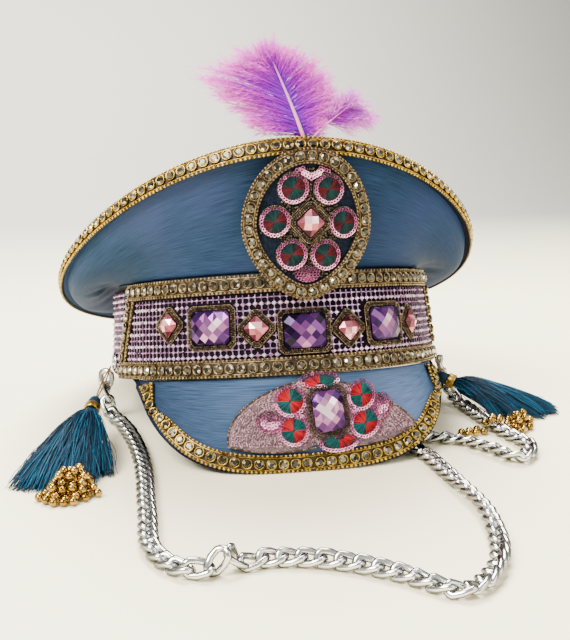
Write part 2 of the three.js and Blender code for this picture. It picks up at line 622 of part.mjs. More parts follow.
// Motif on the peak: wings, stone and petals.
const motif = shifted(peakChart, PEAK_MOTIF.across, PEAK_MOTIF.up);
function wingOutline({ side, reach, rise, power }) {
  const steps = 9;
  const arch = Array.from({ length: steps + 1 }, (_, i) => {
    const angle = (i / steps) * (Math.PI / 2);
    const out = Math.sin(angle) ** (2 / power);
    return [lerp(WING.inner, reach, out), rise * Math.cos(angle) ** (2 / power)];
  });
  const hem = [0.25, 0.5, 0.75].map((share) =>
    [lerp(reach, WING.inner, share), -2 * Math.sin(Math.PI * share)]);
  const outline = [...arch, ...hem, [WING.inner, 2.5]];
  return outline.map(([a, b]) => [side * (a - WING.middle), b + WING.foot]);
}
for (const wing of WINGS) {
  const chart = shifted(motif, wing.side * WING.middle, 0);
  const pad = plate(chart, wingOutline(wing), WING.low, WING.low + WING.thick, [0.4, 0.75]);
  piece(hat, wing.name, pad, FINISH.bullion);
}
const motifTop = (a, b) => raised(motif, a, b, WING.low + WING.thick);
piece(hat, 'peak_gem', stoneAt(motifTop, PEAK_STONE), FINISH.purpleStone);
piece(hat, 'peak_gem_border', borderAt(motifTop, PEAK_STONE), FINISH.bronze);
for (const { name, across, up, wide, tall } of PETALS) {
  const outline = superellipse(10, wide, tall, 2, 2);
  piece(hat, name, plate(shifted(motifTop, across, up), outline, GAP, GAP + 1), FINISH.embroidery);
}

// Chain, lying flat on the table between the rings at the band's sides.
const routePoints = CHAIN_ROUTE.map(({ x, y, z }) => vec(x, y, z));
const route = new THREE.CatmullRomCurve3(routePoints, false, 'centripetal');
const chainSection = new THREE.Shape(Array.from({ length: CHAIN.sides }, (_, i) => {
  const angle = turn(i + 0.5, CHAIN.sides);
  return new THREE.Vector2(CHAIN.halfWide * Math.cos(angle), CHAIN.halfHigh * Math.sin(angle));
}));
const sweep = { steps: CHAIN.steps, extrudePath: route, bevelEnabled: false };
piece(table, 'chain', closed(new THREE.ExtrudeGeometry(chainSection, sweep)), FINISH.silver);
for (const [name, side] of [['chain_ring_left', -1], ['chain_ring_right', 1]]) {
  const p = side * degToRad(CHAIN_RING.deg);
  const ring = new THREE.TorusGeometry(CHAIN_RING.radius, CHAIN_RING.wire, 6, 12);
  const place = raised(bandFace, p, CHAIN_RING.level, CHAIN_RING.wire + GAP);
  const normal = normalAt(bandFace, p, CHAIN_RING.level);
  ring.applyQuaternion(new THREE.Quaternion().setFromUnitVectors(vec(0, 0, 1), normal));
  piece(hat, name, closed(ring.translate(place.x, place.y, place.z)), FINISH.silver);
}

// Sweep of an oval section along a curve, with its width kept level.
function lock(curve, wide, high, steps, sides) {
  const sections = Array.from({ length: steps + 1 }, (_, i) => {
    const share = i / steps;
    const along = curve.getTangent(share);
    const level = vec(0, 0, 1).cross(along).normalize();
    const upright = along.clone().cross(level);
    return Array.from({ length: sides }, (_, k) => {
      const angle = turn(k, sides);
      return curve.getPoint(share)
        .addScaledVector(level, wide(share) * Math.cos(angle))
        .addScaledVector(upright, high(share) * Math.sin(angle));
    });
  });
  return closed(new LoftGeometry(sections, { capStart: true, capEnd: true }));
}
function tassel({ name, hang, head, tips, beads }) {
  const neck = vec(head.x, head.y, head.z);
  const spread = tips.reduce((sum, tip) => sum.add(vec(tip.x, tip.y, TASSEL.lockHigh)), vec(0, 0, 0))
    .divideScalar(tips.length);
  const along = spread.clone().sub(neck).normalize();
  const knot = new THREE.SphereGeometry(TASSEL.headRadius, 8, 6).translate(neck.x, neck.y, neck.z);
  const start = neck.clone().addScaledVector(along, 1);
  const locks = tips.map(({ x, y, bow }) => {
    const end = vec(x, y, TASSEL.lockHigh);
    const throat = neck.clone().addScaledVector(along, 11);
    const rise = throat.clone().lerp(end, 0.5).add(vec(0, 0, bow));
    rise.z = Math.max(rise.z, TASSEL.lockHigh + 1);
    const curve = new THREE.CubicBezierCurve3(start, throat, rise, end);
    const wide = (share) => lerp(1.5, TASSEL.lockWide, THREE.MathUtils.smoothstep(share, 0.16, 0.6));
    const high = (share) => lerp(1.5, TASSEL.lockHigh, share)
      + TASSEL.swell * THREE.MathUtils.smoothstep(share, 0.16, 0.4) * (1 - share ** 3);
    return lock(curve, wide, high, TASSEL.steps, TASSEL.sides);
  });
  const thread = new THREE.LineCurve3(vec(hang.x, hang.y, hang.z), neck);
  const loop = lock(thread, () => 0.8, () => 0.8, 1, 6);
  piece(table, name, fused([knot, loop, ...locks]), FINISH.teal);

  const cuff = new THREE.LatheGeometry([
    new THREE.Vector2(COLLAR.inner, -COLLAR.length / 2),
    new THREE.Vector2(COLLAR.outer, -COLLAR.length / 2),
    new THREE.Vector2(COLLAR.outer, COLLAR.length / 2),
    new THREE.Vector2(COLLAR.inner, COLLAR.length / 2),
    new THREE.Vector2(COLLAR.inner, -COLLAR.length / 2),
  ], 12);
  const place = neck.clone().addScaledVector(along, 5.6);
  cuff.applyQuaternion(new THREE.Quaternion().setFromUnitVectors(vec(0, 1, 0), along));
  piece(table, `${name}_collar`, closed(cuff.translate(place.x, place.y, place.z)), FINISH.gold);

  const mound = (a, b) => {
    const [s, c] = [Math.sin(beads.turn), Math.cos(beads.turn)];
    return vec(beads.x + a * c - b * s, beads.y + a * s + b * c, 0);
  };
  const rows = [[0, 0], [1, 0], [0.95, 0.55], [0.6, 1], [0, 1]];
  const sections = rows.map(([scale, high]) => superellipse(14, beads.wide, beads.deep, 2, 2)
    .map(([a, b]) => mound(a * scale, b * scale).setZ(high * beads.high)));
  piece(table, `${name}_beads`, closed(new LoftGeometry(sections)), FINISH.goldBead);
}
tassel(TASSEL_LEFT);
tassel(TASSEL_RIGHT);

// Feather: a quill with flat barb tufts fused along it.
function feather({ name, depth, quill, barbs }, finish) {
  const [a, b, c] = quill.map(({ x, z }) => vec(x, depth, z));
  const curve = new THREE.QuadraticBezierCurve3(a, b, c);
  const radius = (share) => lerp(QUILL_RADIUS, 0.6, share);
  const stem = lock(curve, radius, radius, 5, 6);
  const tufts = barbs.map(({ at, x, z, wide }) => {
    const root = curve.getPoint(at);
    const tip = vec(x, depth - 0.8, z);
    const along = tip.clone().sub(root).normalize();
    const across = along.clone().cross(vec(0, 1, 0)).normalize();
    const rows = [[0, BARB.root], [0.55, wide], [1, wide * 0.3]];
    const sections = rows.map(([share, width]) => {
      const spot = root.clone().lerp(tip, share);
      return [[0.5, 0], [0, -0.5], [-0.5, 0], [0, 0.5]].map(([side, up]) => spot.clone()
        .addScaledVector(across, side * width)
        .add(vec(0, up * BARB.thick, 0)));
    });
    return closed(new LoftGeometry(sections, { capStart: true, capEnd: true }));
  });
  piece(table, name, fused([stem, ...tufts]), finish);
}
feather(FEATHER_LARGE, FINISH.purplePlume);
feather(FEATHER_SMALL, FINISH.pinkPlume);

// The whole hat, with the middle of its footprint at the origin.
const model = new THREE.Group();
model.add(hat, table);
const box = new THREE.Box3().setFromObject(model, true);
const centre = box.getCenter(vec());
model.position.set(-centre.x, -centre.y, -box.min.z);
const part = new THREE.Group();
part.add(model);

export default part;
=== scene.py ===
# %% [markdown]
# # A decorated captain hat
# The hat stands on a table and leans back on the rim of its band. Its solids come ready made from the
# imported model, and this lesson dresses them: satin, rhinestone strips, cut stones, embroidery, silk
# tassels, a silver chain and two feathers. Every size is in millimetres until it is placed.

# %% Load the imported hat
import math

import bmesh
import bpy
import numpy as np
from mathutils import Matrix, Vector


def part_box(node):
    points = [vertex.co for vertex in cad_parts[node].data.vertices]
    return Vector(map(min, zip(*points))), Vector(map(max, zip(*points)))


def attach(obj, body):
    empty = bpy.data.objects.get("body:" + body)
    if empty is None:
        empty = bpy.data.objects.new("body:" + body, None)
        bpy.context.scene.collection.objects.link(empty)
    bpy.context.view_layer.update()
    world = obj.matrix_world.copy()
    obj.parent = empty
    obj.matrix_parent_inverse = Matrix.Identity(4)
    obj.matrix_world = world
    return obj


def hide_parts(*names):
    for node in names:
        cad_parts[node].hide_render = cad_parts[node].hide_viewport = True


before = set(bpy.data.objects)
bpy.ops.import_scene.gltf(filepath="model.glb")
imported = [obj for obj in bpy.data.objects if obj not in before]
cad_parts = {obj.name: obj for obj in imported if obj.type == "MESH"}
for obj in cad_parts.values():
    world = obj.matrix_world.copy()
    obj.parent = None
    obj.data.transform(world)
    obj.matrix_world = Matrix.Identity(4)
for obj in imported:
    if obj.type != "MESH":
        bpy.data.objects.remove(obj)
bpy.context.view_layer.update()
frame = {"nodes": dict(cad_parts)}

MM = 0.001
nodes = frame["nodes"]
print("nodes in the frame:", len(nodes))

# %% [markdown]
# ## The hat's own axis
# The band is an oval tube, and the whole hat is built round its axis. On the table that axis leans
# back. Points could be worked out in the leaning place, but it is simpler to find each on the upright
# hat, then turn it and set it down. The turn is known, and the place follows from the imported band.

# %% Stance
TILT = math.radians(13)
ROLL = math.radians(1)
RIM_FLAT = 0.8
STANCE = np.array(Matrix.Rotation(-ROLL, 3, "Y") @ Matrix.Rotation(-TILT, 3, "X"))
TURN = 2 * math.pi


def oval(half_x, half_y, p, z):
    """Point of an oval round the axis: p runs from the front towards the wearer's left."""
    half_x, half_y, p, z = np.broadcast_arrays(half_x, half_y, p, z)
    return np.stack([half_x * np.sin(p), -half_y * np.cos(p), z], axis=-1)


BAND = {"half_x": 83.5, "half_y": 98.5, "wall": 2.0, "height": 48.2, "taper": 0.04 / 50}
GAP = 0.35
NET_FACE = BAND["wall"] + GAP + 1.5


def band_point(p, z, out):
    scale = 1 - BAND["taper"] * np.asarray(z, float)
    return oval(BAND["half_x"] * scale + out, BAND["half_y"] * scale + out, p, z)


steps_round = np.arange(48) * (TURN / 48)
rim = band_point(steps_round, 0.0, BAND["wall"]) @ STANCE.T
top = band_point(steps_round, BAND["height"], BAND["wall"]) @ STANCE.T
LIFT = -rim[:, 2].min() - RIM_FLAT
band_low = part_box("band")[0] / MM
shell = np.concatenate([rim, top])
SHIFT = np.array([band_low.x - shell[:, 0].min(), band_low.y - shell[:, 1].min(), 0])


def on_table(points):
    return (np.asarray(points, float) + SHIFT) * MM


def on_hat(points):
    return on_table(np.asarray(points, float) @ STANCE.T + (0, 0, LIFT))


print("band axis stands at", np.round(SHIFT, 2), "and is lifted by", round(LIFT, 2), "mm")

# %% [markdown]
# ## Camera
# The camera stands low in front and a little to the left, as a person who takes the hat's portrait at
# a table would. Its place was found from the hat's edges in a picture, and is kept as an angle, a height
# and a distance, which are easier to read than a matrix.

# %% Camera
VIEW = {"azimuth": -10.64, "elevation": 13.01, "distance": 600, "aside": 7.38, "height": 47.78}
FOCAL_SHARE = 1079.05 / 640
azimuth = math.radians(VIEW["azimuth"])
elevation = math.radians(VIEW["elevation"])
back = np.array([
    math.sin(azimuth) * math.cos(elevation),
    -math.cos(azimuth) * math.cos(elevation),
    math.sin(elevation),
])
aim = np.array([VIEW["aside"] * math.cos(azimuth), VIEW["aside"] * math.sin(azimuth), VIEW["height"]])
camera = bpy.data.objects.new("camera", bpy.data.cameras.new("camera"))
bpy.context.scene.collection.objects.link(camera)
camera.location = Vector(on_table(aim + back * VIEW["distance"]))
camera.rotation_euler = Vector(-back).to_track_quat("-Z", "Y").to_euler()
camera.data.sensor_width = 36
camera.data.lens = 36 * FOCAL_SHARE
bpy.context.scene.camera = camera
print("camera at", np.round(camera.location, 3))

# %% [markdown]
# ## Finishes
# A finish is one Principled shader whose colour and roughness change over the surface. Some effects come
# back on many pieces: the strokes in satin, the grain of plain cloth, the uneven polish of metal. Each is
# a node group that is built once and placed in a material with its own values, which keeps every finish
# short and makes them belong together.


# %% Colours and nodes
def srgb(red, green, blue):
    """Linear colour from the 0 to 255 values of a colour picker."""
    shares = np.array([red, green, blue]) / 255
    linear = np.where(shares <= 0.04045, shares / 12.92, ((shares + 0.055) / 1.055) ** 2.4)
    return (*linear, 1)


def wire(tree, value, socket):
    """Sets a socket to a plain value, or links another socket to it."""
    if isinstance(value, bpy.types.NodeSocket):
        tree.links.new(value, socket)
    else:
        socket.default_value = value


def node(tree, kind, **inputs):
    made = tree.nodes.new(kind)
    for name, value in inputs.items():
        wire(tree, value, made.inputs[name])
    return made


def finish(name, **sockets):
    """Material with a Principled shader, its sockets named with underscores for spaces."""
    made = bpy.data.materials.new(name)
    made.use_nodes = True
    shader = made.node_tree.nodes["Principled BSDF"]
    for key, value in sockets.items():
        shader.inputs[key.replace("_", " ").title().replace("Ior", "IOR")].default_value = value
    return made, made.node_tree, shader


def ramp(tree, factor, *stops):
    """Colour ramp from (place, colour) stops."""
    made = tree.nodes.new("ShaderNodeValToRGB")
    wire(tree, factor, made.inputs["Fac"])
    elements = made.color_ramp.elements
    while len(elements) < len(stops):
        elements.new(0.5)
    for element, (place, colour) in zip(elements, stops):
        element.position = place
        element.color = colour
    return made.outputs["Color"]


def mixed(tree, factor, first, second, blend="MIX"):
    """Mix of two colours."""
    made = tree.nodes.new("ShaderNodeMix")
    made.data_type = "RGBA"
    made.blend_type = blend
    for place, value in ((0, factor), (6, first), (7, second)):
        wire(tree, value, made.inputs[place])
    return made.outputs[2]


def between(tree, value, low, high, to_low=0.0, to_high=1.0):
    """Number that goes from to_low to to_high while a value goes from low to high."""
    made = tree.nodes.new("ShaderNodeMapRange")
    sockets = {"Value": value, "From Min": low, "From Max": high, "To Min": to_low, "To Max": to_high}
    for name, number in sockets.items():
        wire(tree, number, made.inputs[name])
    return made.outputs["Result"]


def attribute(tree, name):
    made = tree.nodes.new("ShaderNodeAttribute")
    made.attribute_name = name
    return made.outputs["Fac"]


# %% Node groups
def group(name, sockets):
    """Empty node group from (direction, name, type, default) rows."""
    tree = bpy.data.node_groups.new(name, "ShaderNodeTree")
    for way, label, kind, default in sockets:
        socket = tree.interface.new_socket(label, in_out=way, socket_type=kind)
        if default is not None:
            socket.default_value = default
    return tree, tree.nodes.new("NodeGroupInput"), tree.nodes.new("NodeGroupOutput")


def use(tree, grouped, **inputs):
    made = tree.nodes.new("ShaderNodeGroup")
    made.node_tree = grouped
    for name, value in inputs.items():
        wire(tree, value, made.inputs[name])
    return made.outputs


def bump(tree, height, strength, depth):
    """Bump node with a depth in millimetres."""
    made = node(tree, "ShaderNodeBump", Height=height, Strength=strength, Distance=depth * MM)
    return made.outputs["Normal"]


# %% Strokes and satin
FLOAT = "NodeSocketFloat"
COLOUR = "NodeSocketColor"

# Fine strokes across cloth, and broad patches of another tone.
strokes, given, gives = group("cloth_strokes", [
    ("INPUT", "Along", FLOAT, 40.0),
    ("INPUT", "Across", FLOAT, 180.0),
    ("INPUT", "Patches", FLOAT, 12.0),
    ("OUTPUT", "Stroke", FLOAT, None),
    ("OUTPUT", "Patch", FLOAT, None),
])
where = strokes.nodes.new("ShaderNodeTexCoord")
spread = node(strokes, "ShaderNodeCombineXYZ", X=given.outputs["Along"], Y=given.outputs["Across"])
stretch = strokes.nodes.new("ShaderNodeVectorMath")
stretch.operation = "MULTIPLY"
strokes.links.new(where.outputs["UV"], stretch.inputs[0])
strokes.links.new(spread.outputs[0], stretch.inputs[1])
fine = node(strokes, "ShaderNodeTexNoise", Vector=stretch.outputs[0], Scale=1.0, Detail=4.0)
broad = node(strokes, "ShaderNodeTexNoise", Vector=where.outputs["Object"], Detail=2.0)
strokes.links.new(given.outputs["Patches"], broad.inputs["Scale"])
strokes.links.new(fine.outputs["Fac"], gives.inputs["Stroke"])
strokes.links.new(broad.outputs["Fac"], gives.inputs["Patch"])

# Brushed satin: dark and light strokes, patches of painted sheen, and a painted shade that the material
# gives.
brushed, given, gives = group("brushed_satin", [
    ("INPUT", "Along", FLOAT, 40.0),
    ("INPUT", "Across", FLOAT, 180.0),
    ("INPUT", "Deep", COLOUR, None),
    ("INPUT", "Light", COLOUR, None),
    ("INPUT", "Sheen", COLOUR, None),
    ("INPUT", "Shade", COLOUR, None),
    ("OUTPUT", "Colour", COLOUR, None),
    ("OUTPUT", "Roughness", FLOAT, None),
    ("OUTPUT", "Stroke", FLOAT, None),
])
cloth = use(brushed, strokes, Along=given.outputs["Along"], Across=given.outputs["Across"], Patches=11.0)
streak = between(brushed, cloth["Stroke"], 0.32, 0.68)
streaks = mixed(brushed, streak, given.outputs["Deep"], given.outputs["Light"])
patch = between(brushed, cloth["Patch"], 0.45, 0.7, 0.0, 0.55)
tinted = mixed(brushed, patch, streaks, given.outputs["Sheen"])
shaded = mixed(brushed, 1.0, tinted, given.outputs["Shade"], "MULTIPLY")
wire(brushed, shaded, gives.inputs["Colour"])
wire(brushed, between(brushed, cloth["Stroke"], 0.0, 1.0, 0.5, 0.75), gives.inputs["Roughness"])
wire(brushed, cloth["Stroke"], gives.inputs["Stroke"])

# %% Grain and polish
# Grain of plain cloth, between a dark and a light tone.
plain, given, gives = group("cloth_grain", [
    ("INPUT", "Scale", FLOAT, 800.0),
    ("INPUT", "Dark", COLOUR, None),
    ("INPUT", "Light", COLOUR, None),
    ("OUTPUT", "Colour", COLOUR, None),
    ("OUTPUT", "Grain", FLOAT, None),
])
where = plain.nodes.new("ShaderNodeTexCoord")
fibres = node(
    plain, "ShaderNodeTexNoise", Vector=where.outputs["Object"], Scale=given.outputs["Scale"], Detail=5.0)
fibre = between(plain, fibres.outputs["Fac"], 0.35, 0.65)
wire(plain, mixed(plain, fibre, given.outputs["Dark"], given.outputs["Light"]), gives.inputs["Colour"])
wire(plain, fibres.outputs["Fac"], gives.inputs["Grain"])

# Uneven polish of metal: a tone and a roughness that wander over the piece.
polish, given, gives = group("uneven_polish", [
    ("INPUT", "Scale", FLOAT, 300.0),
    ("INPUT", "Smooth", FLOAT, 0.15),
    ("INPUT", "Rough", FLOAT, 0.4),
    ("OUTPUT", "Tone", FLOAT, None),
    ("OUTPUT", "Roughness", FLOAT, None),
])
where = polish.nodes.new("ShaderNodeTexCoord")
cloud = node(
    polish, "ShaderNodeTexNoise", Vector=where.outputs["Object"], Scale=given.outputs["Scale"], Detail=3.0)
level = between(polish, cloud.outputs["Fac"], 0.3, 0.7, given.outputs["Smooth"], given.outputs["Rough"])
wire(polish, cloud.outputs["Fac"], gives.inputs["Tone"])
wire(polish, level, gives.inputs["Roughness"])
print("node groups:", [made.name for made in bpy.data.node_groups])


# %% Two kinds of finish that many pieces use
def toned(name, label, *stops, **sockets):
    """Finish whose colour follows a number stored on the mesh."""
    made, tree, shader = finish(name, **sockets)
    wire(tree, ramp(tree, attribute(tree, label), *stops), shader.inputs["Base Color"])
    return made


def polished(name, scale, smooth, rough, *stops, label=None, metallic=1.0):
    """Metal with uneven polish, coloured by that polish or by a number stored on the mesh."""
    made, tree, shader = finish(name, metallic=metallic)
    shine = use(tree, polish, Scale=scale, Smooth=smooth, Rough=rough)
    factor = attribute(tree, label) if label else shine["Tone"]
    wire(tree, ramp(tree, factor, *stops), shader.inputs["Base Color"])
    wire(tree, shine["Roughness"], shader.inputs["Roughness"])
    return made


# %% [markdown]
# ## Table and lamps
# The sheet is a grid bent up in code. A bend modifier could do it too, but the code shows its shape.
# Its tone goes from cream near the hat to grey far behind, and the wall is darker to the right, a painted
# shade for light from the left. The lamps are large areas, because small ones would put hard spots on all
# the stones.

# %% Table and wall
STAGE = {"half": 1.6, "wide": 1.5, "bend": 0.75, "radius": 0.5}
stage_mesh = bmesh.new()
bmesh.ops.create_grid(stage_mesh, x_segments=4, y_segments=64, size=STAGE["half"])
for vert in stage_mesh.verts:
    beyond = max(0.0, vert.co.y - STAGE["bend"])
    swing = min(beyond / STAGE["radius"], math.pi / 2)
    rise = max(0.0, beyond - STAGE["radius"] * math.pi / 2)
    vert.co.y = min(vert.co.y, STAGE["bend"]) + STAGE["radius"] * math.sin(swing)
    vert.co.z = STAGE["radius"] * (1 - math.cos(swing)) + rise
    vert.co.x *= STAGE["wide"]
table_finish, tree, shader = finish("pale_table", roughness=0.6)
where = tree.nodes.new("ShaderNodeTexCoord")
sides = node(tree, "ShaderNodeSeparateXYZ", Vector=where.outputs["Object"])
# Painted shade: the wall grows darker to the right, away from the light.
rightward_shade = between(tree, sides.outputs["X"], -0.25, 0.7)
wall_with_painted_shade = mixed(tree, rightward_shade, srgb(186, 185, 177), srgb(116, 116, 111))
far_away = between(tree, sides.outputs["Y"], 0.3, 0.8)
wire(tree, mixed(tree, far_away, srgb(255, 246, 214), wall_with_painted_shade), shader.inputs["Base Color"])
grain = node(tree, "ShaderNodeTexNoise", Vector=where.outputs["Object"], Scale=60.0, Detail=4.0)
wire(tree, bump(tree, grain.outputs["Fac"], 0.08, 1.0), shader.inputs["Normal"])
stage_data = bpy.data.meshes.new("table")
stage_mesh.to_mesh(stage_data)
stage_mesh.free()
stage_data.shade_smooth()
stage_data.materials.append(table_finish)
table = bpy.data.objects.new("table", stage_data)
bpy.context.scene.collection.objects.link(table)

# %% Lamps
LAMPS = [
    {"name": "key", "place": (-0.85, -0.6, 1.2), "size": 0.8, "watts": 66},
    {"name": "fill", "place": (1.0, -0.75, 0.7), "size": 1.0, "watts": 10},
    {"name": "top", "place": (0.1, 0.7, 1.25), "size": 0.8, "watts": 84},
]
for lamp in LAMPS:
    light = bpy.data.lights.new(lamp["name"], "AREA")
    light.size = lamp["size"]
    light.energy = lamp["watts"]
    light.color = (1.0, 0.97, 0.91)
    holder = bpy.data.objects.new(lamp["name"], light)
    bpy.context.scene.collection.objects.link(holder)
    holder.location = lamp["place"]
    holder.rotation_euler = (Vector((0, 0.02, 0.06)) - holder.location).to_track_quat("-Z", "Y").to_euler()
world = bpy.data.worlds.new("studio")
world.use_nodes = True
world.node_tree.nodes["Background"].inputs["Color"].default_value = srgb(248, 245, 238)
world.node_tree.nodes["Background"].inputs["Strength"].default_value = 0.66
bpy.context.scene.world = world
print("lamps:", len(LAMPS))

# %% [markdown]
# ## Helpers for the pieces
# Cloth is made as a flat grid whose vertices are moved onto a surface, so its UV map follows the cloth.
# Beads, stones and links are modelled once and copied along a line or over a field, and the copies are
# joined into one mesh. Modifiers could repeat them too, but the joined mesh can store a number for every
# copy, which its finish turns into a tone. A thread is a thin three-sided tube along a line.


# %% Surfaces and grids
def normal(surface, u, v, step=1e-3):
    along = surface(u + step, v) - surface(u - step, v)
    across = surface(u, v + step) - surface(u, v - step)
    facing = np.cross(along, across)
    return facing / np.linalg.norm(facing, axis=-1, keepdims=True)


def lifted(surface, u, v, h):
    u, v, h = np.broadcast_arrays(np.asarray(u, float), v, h)
    return surface(u, v) + normal(surface, u, v) * h[..., None]


def mapped(across, along, place, closed=False):
    """Grid of faces with each vertex moved to place(u, v), for shares u and v from 0 to 1."""
    made = bmesh.new()
    made.loops.layers.uv.new("UVMap")
    bmesh.ops.create_grid(made, x_segments=across, y_segments=along, size=1, calc_uvs=True)
    flat = np.array([vert.co[:2] for vert in made.verts])
    shares = (flat - flat.min(axis=0)) / np.ptp(flat, axis=0)
    for vert, point in zip(made.verts, place(shares[:, 0], shares[:, 1])):
        vert.co = point
    bmesh.ops.remove_doubles(made, verts=made.verts, dist=1e-6)
    if closed:
        bmesh.ops.holes_fill(made, edges=made.edges, sides=0)
        bmesh.ops.recalc_face_normals(made, faces=made.faces)
    return made


# %% Copies and threads
def stored(mesh, label, values, domain="POINT"):
    """Stores one number for every point or face of a mesh."""
    layer = mesh.attributes.new(label, "FLOAT", domain)
    layer.data.foreach_set("value", np.asarray(values, np.float32).ravel())
    return mesh


def copies(template, places, tones=None):
    """Joined mesh of a template, given in millimetres, at each 4 by 4 place."""
    places = np.asarray(places)
    template.verts.index_update()
    points = np.array([vert.co for vert in template.verts])
    faces = [[vert.index for vert in face.verts] for face in template.faces]
    moved = np.einsum("nij,kj->nki", places[:, :3, :3], points) + places[:, None, :3, 3]
    corners = [[i + k * len(points) for i in face] for k in range(len(places)) for face in faces]
    made = bpy.data.meshes.new("copies")
    made.from_pydata(moved.reshape(-1, 3).tolist(), [], corners)
    if tones is not None:
        stored(made, "tone", np.repeat(tones, len(points)))
    return made


def framed(origin, x_axis, y_axis, z_axis, hat=True, sizes=1.0):
    """Places of copies from points and axes, on the hat or on the table."""
    axes = np.stack(np.broadcast_arrays(x_axis, y_axis, z_axis), axis=-1)
    made = np.zeros((len(origin), 4, 4))
    made[:, :3, :3] = (STANCE @ axes if hat else axes) * MM * np.reshape(sizes, (-1, 1, 1))
    made[:, :3, 3] = on_hat(origin) if hat else on_table(origin)
    made[:, 3, 3] = 1
    return made


def unit(vectors):
    return vectors / np.linalg.norm(vectors, axis=-1, keepdims=True)


def threads(lines, radii, sides=3, tones=None):
    """Joined tubes along lines, an array of threads, points and coordinates in metres."""
    count, length, _ = lines.shape
    heading = unit(np.gradient(lines, axis=1))
    level = unit(np.cross(heading, (0.13, 0.21, 0.97)))
    upright = np.cross(heading, level)
    turns = np.arange(sides) * (TURN / sides)
    radii = np.broadcast_to(radii, (count, length))[..., None, None] * MM
    ring = level[:, :, None] * np.cos(turns)[:, None] + upright[:, :, None] * np.sin(turns)[:, None]
    points = lines[:, :, None] + ring * radii
    index = np.arange(count * length * sides).reshape(count, length, sides)
    onward = np.roll(index, -1, axis=2)
    faces = np.stack([index[:, :-1], onward[:, :-1], onward[:, 1:], index[:, 1:]], axis=-1).reshape(-1, 4)
    made = bpy.data.meshes.new("threads")
    made.from_pydata(points.reshape(-1, 3).tolist(), [], faces.tolist())
    stored(made, "reach", np.broadcast_to(np.linspace(0, 1, length)[None, :, None], (count, length, sides)))
    if tones is not None:
        stored(made, "tone", np.repeat(tones, length * sides))
    return made


# %% Pieces and round shapes
def piece(name, made, look, nodes=(), smooth=True):
    """Object of the dressed hat, from a bmesh or a mesh, that stands for CAD nodes."""
    if isinstance(made, bmesh.types.BMesh):
        mesh = bpy.data.meshes.new(name)
        made.to_mesh(mesh)
        made.free()
    else:
        mesh = made
        mesh.name = name
    mesh.materials.append(look)
    if smooth:
        mesh.shade_smooth()
    else:
        mesh.shade_flat()
    thing = bpy.data.objects.new(name, mesh)
    bpy.context.scene.collection.objects.link(thing)
    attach(thing, "root")
    if nodes:
        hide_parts(*nodes)
    print(name, len(mesh.polygons), "faces")
    return thing


def full_turn(made, steps):
    """Spins a profile about Z and closes its seam."""
    outline = made.verts[:] + made.edges[:]
    bmesh.ops.spin(
        made, geom=outline, axis=(0, 0, 1), cent=(0, 0, 0), angle=TURN, steps=steps, use_merge=True)
    bmesh.ops.remove_doubles(made, verts=made.verts, dist=1e-4)
    bmesh.ops.recalc_face_normals(made, faces=made.faces)
    return made


def spun(profile, steps):
    """Round body in millimetres from (radius, height) points turned about Z."""
    made = bmesh.new()
    verts = [made.verts.new((radius, 0, height)) for radius, height in profile]
    for pair in zip(verts, verts[1:]):
        made.edges.new(pair)
    return full_turn(made, steps)


def hoop(radius, thickness, steps, sides):
    """Wire ring about Z, in millimetres."""
    made = bmesh.new()
    bmesh.ops.create_circle(made, segments=sides, radius=thickness)
    bmesh.ops.rotate(made, verts=made.verts, cent=(0, 0, 0), matrix=Matrix.Rotation(math.pi / 2, 3, "X"))
    bmesh.ops.translate(made, verts=made.verts, vec=(radius, 0, 0))
    return full_turn(made, steps)


def ball(radius):
    made = bmesh.new()
    bmesh.ops.create_icosphere(made, subdivisions=1, radius=radius)
    return made


def run_along(line):
    """Length of a line from its start to each of its points."""
    return np.concatenate([[0], np.cumsum(np.linalg.norm(np.diff(line, axis=0), axis=1))])


# %% [markdown]
# ## Silver curb chain
# A curb chain has oval wire links, each twisted along its length so that the chain lies flat. One link
# is a spun ring, pulled long and twisted. An Array modifier could repeat it along a curve, but a loop can
# also turn each link a little, stand two of them up where the chain has a kink, and let each link that lies
# on the table down until it touches it.

# %% Chain route
CHAIN_ROUTE = [
    (-92, -12.9, 25.5), (-92.1, -12.2, 14), (-91, -14, 4.6), (-85, -32, 2.75), (-80, -62, 2.75),
    (-78, -100, 2.75), (-79.5, -150, 2.75), (-79, -190, 2.75), (-66, -209, 2.75), (-36, -204, 2.75),
    (-10, -212, 2.75), (9, -225, 2.75), (28, -241, 2.75), (47, -223, 2.75), (60, -178, 2.75),
    (59, -136, 2.75), (57, -108, 2.75), (55, -92, 2.75), (62, -81, 2.75), (77, -86, 2.75),
    (90, -103, 2.75), (99, -118, 2.75), (110, -104, 2.75), (105, -72, 2.75), (102, -38, 2.75),
    (100, -19, 5), (95.6, -14.6, 15), (93.5, -14, 24),
]


def smooth_route(points, per_span=24):
    """Curve through points that slows at close ones, as a centripetal Catmull-Rom spline does."""
    points = np.asarray(points, float)
    padded = np.concatenate([[2 * points[0] - points[1]], points, [2 * points[-1] - points[-2]]])
    spans = []
    for a, b, c, d in zip(padded, padded[1:], padded[2:], padded[3:]):
        ta, tb, tc = np.cumsum([math.sqrt(np.linalg.norm(v)) for v in (b - a, c - b, d - c)])
        t = np.linspace(ta, tb, per_span, endpoint=False)[:, None]
        ab = (ta - t) / ta * a + t / ta * b
        bc = (tb - t) / (tb - ta) * b + (t - ta) / (tb - ta) * c
        cd = (tc - t) / (tc - tb) * c + (t - tb) / (tc - tb) * d
        abc = (tb - t) / tb * ab + t / tb * bc
        bcd = (tc - t) / (tc - ta) * bc + (t - ta) / (tc - ta) * cd
        spans.append((tb - t) / (tb - ta) * abc + (t - ta) / (tb - ta) * bcd)
    return np.concatenate([*spans, points[-1:]])


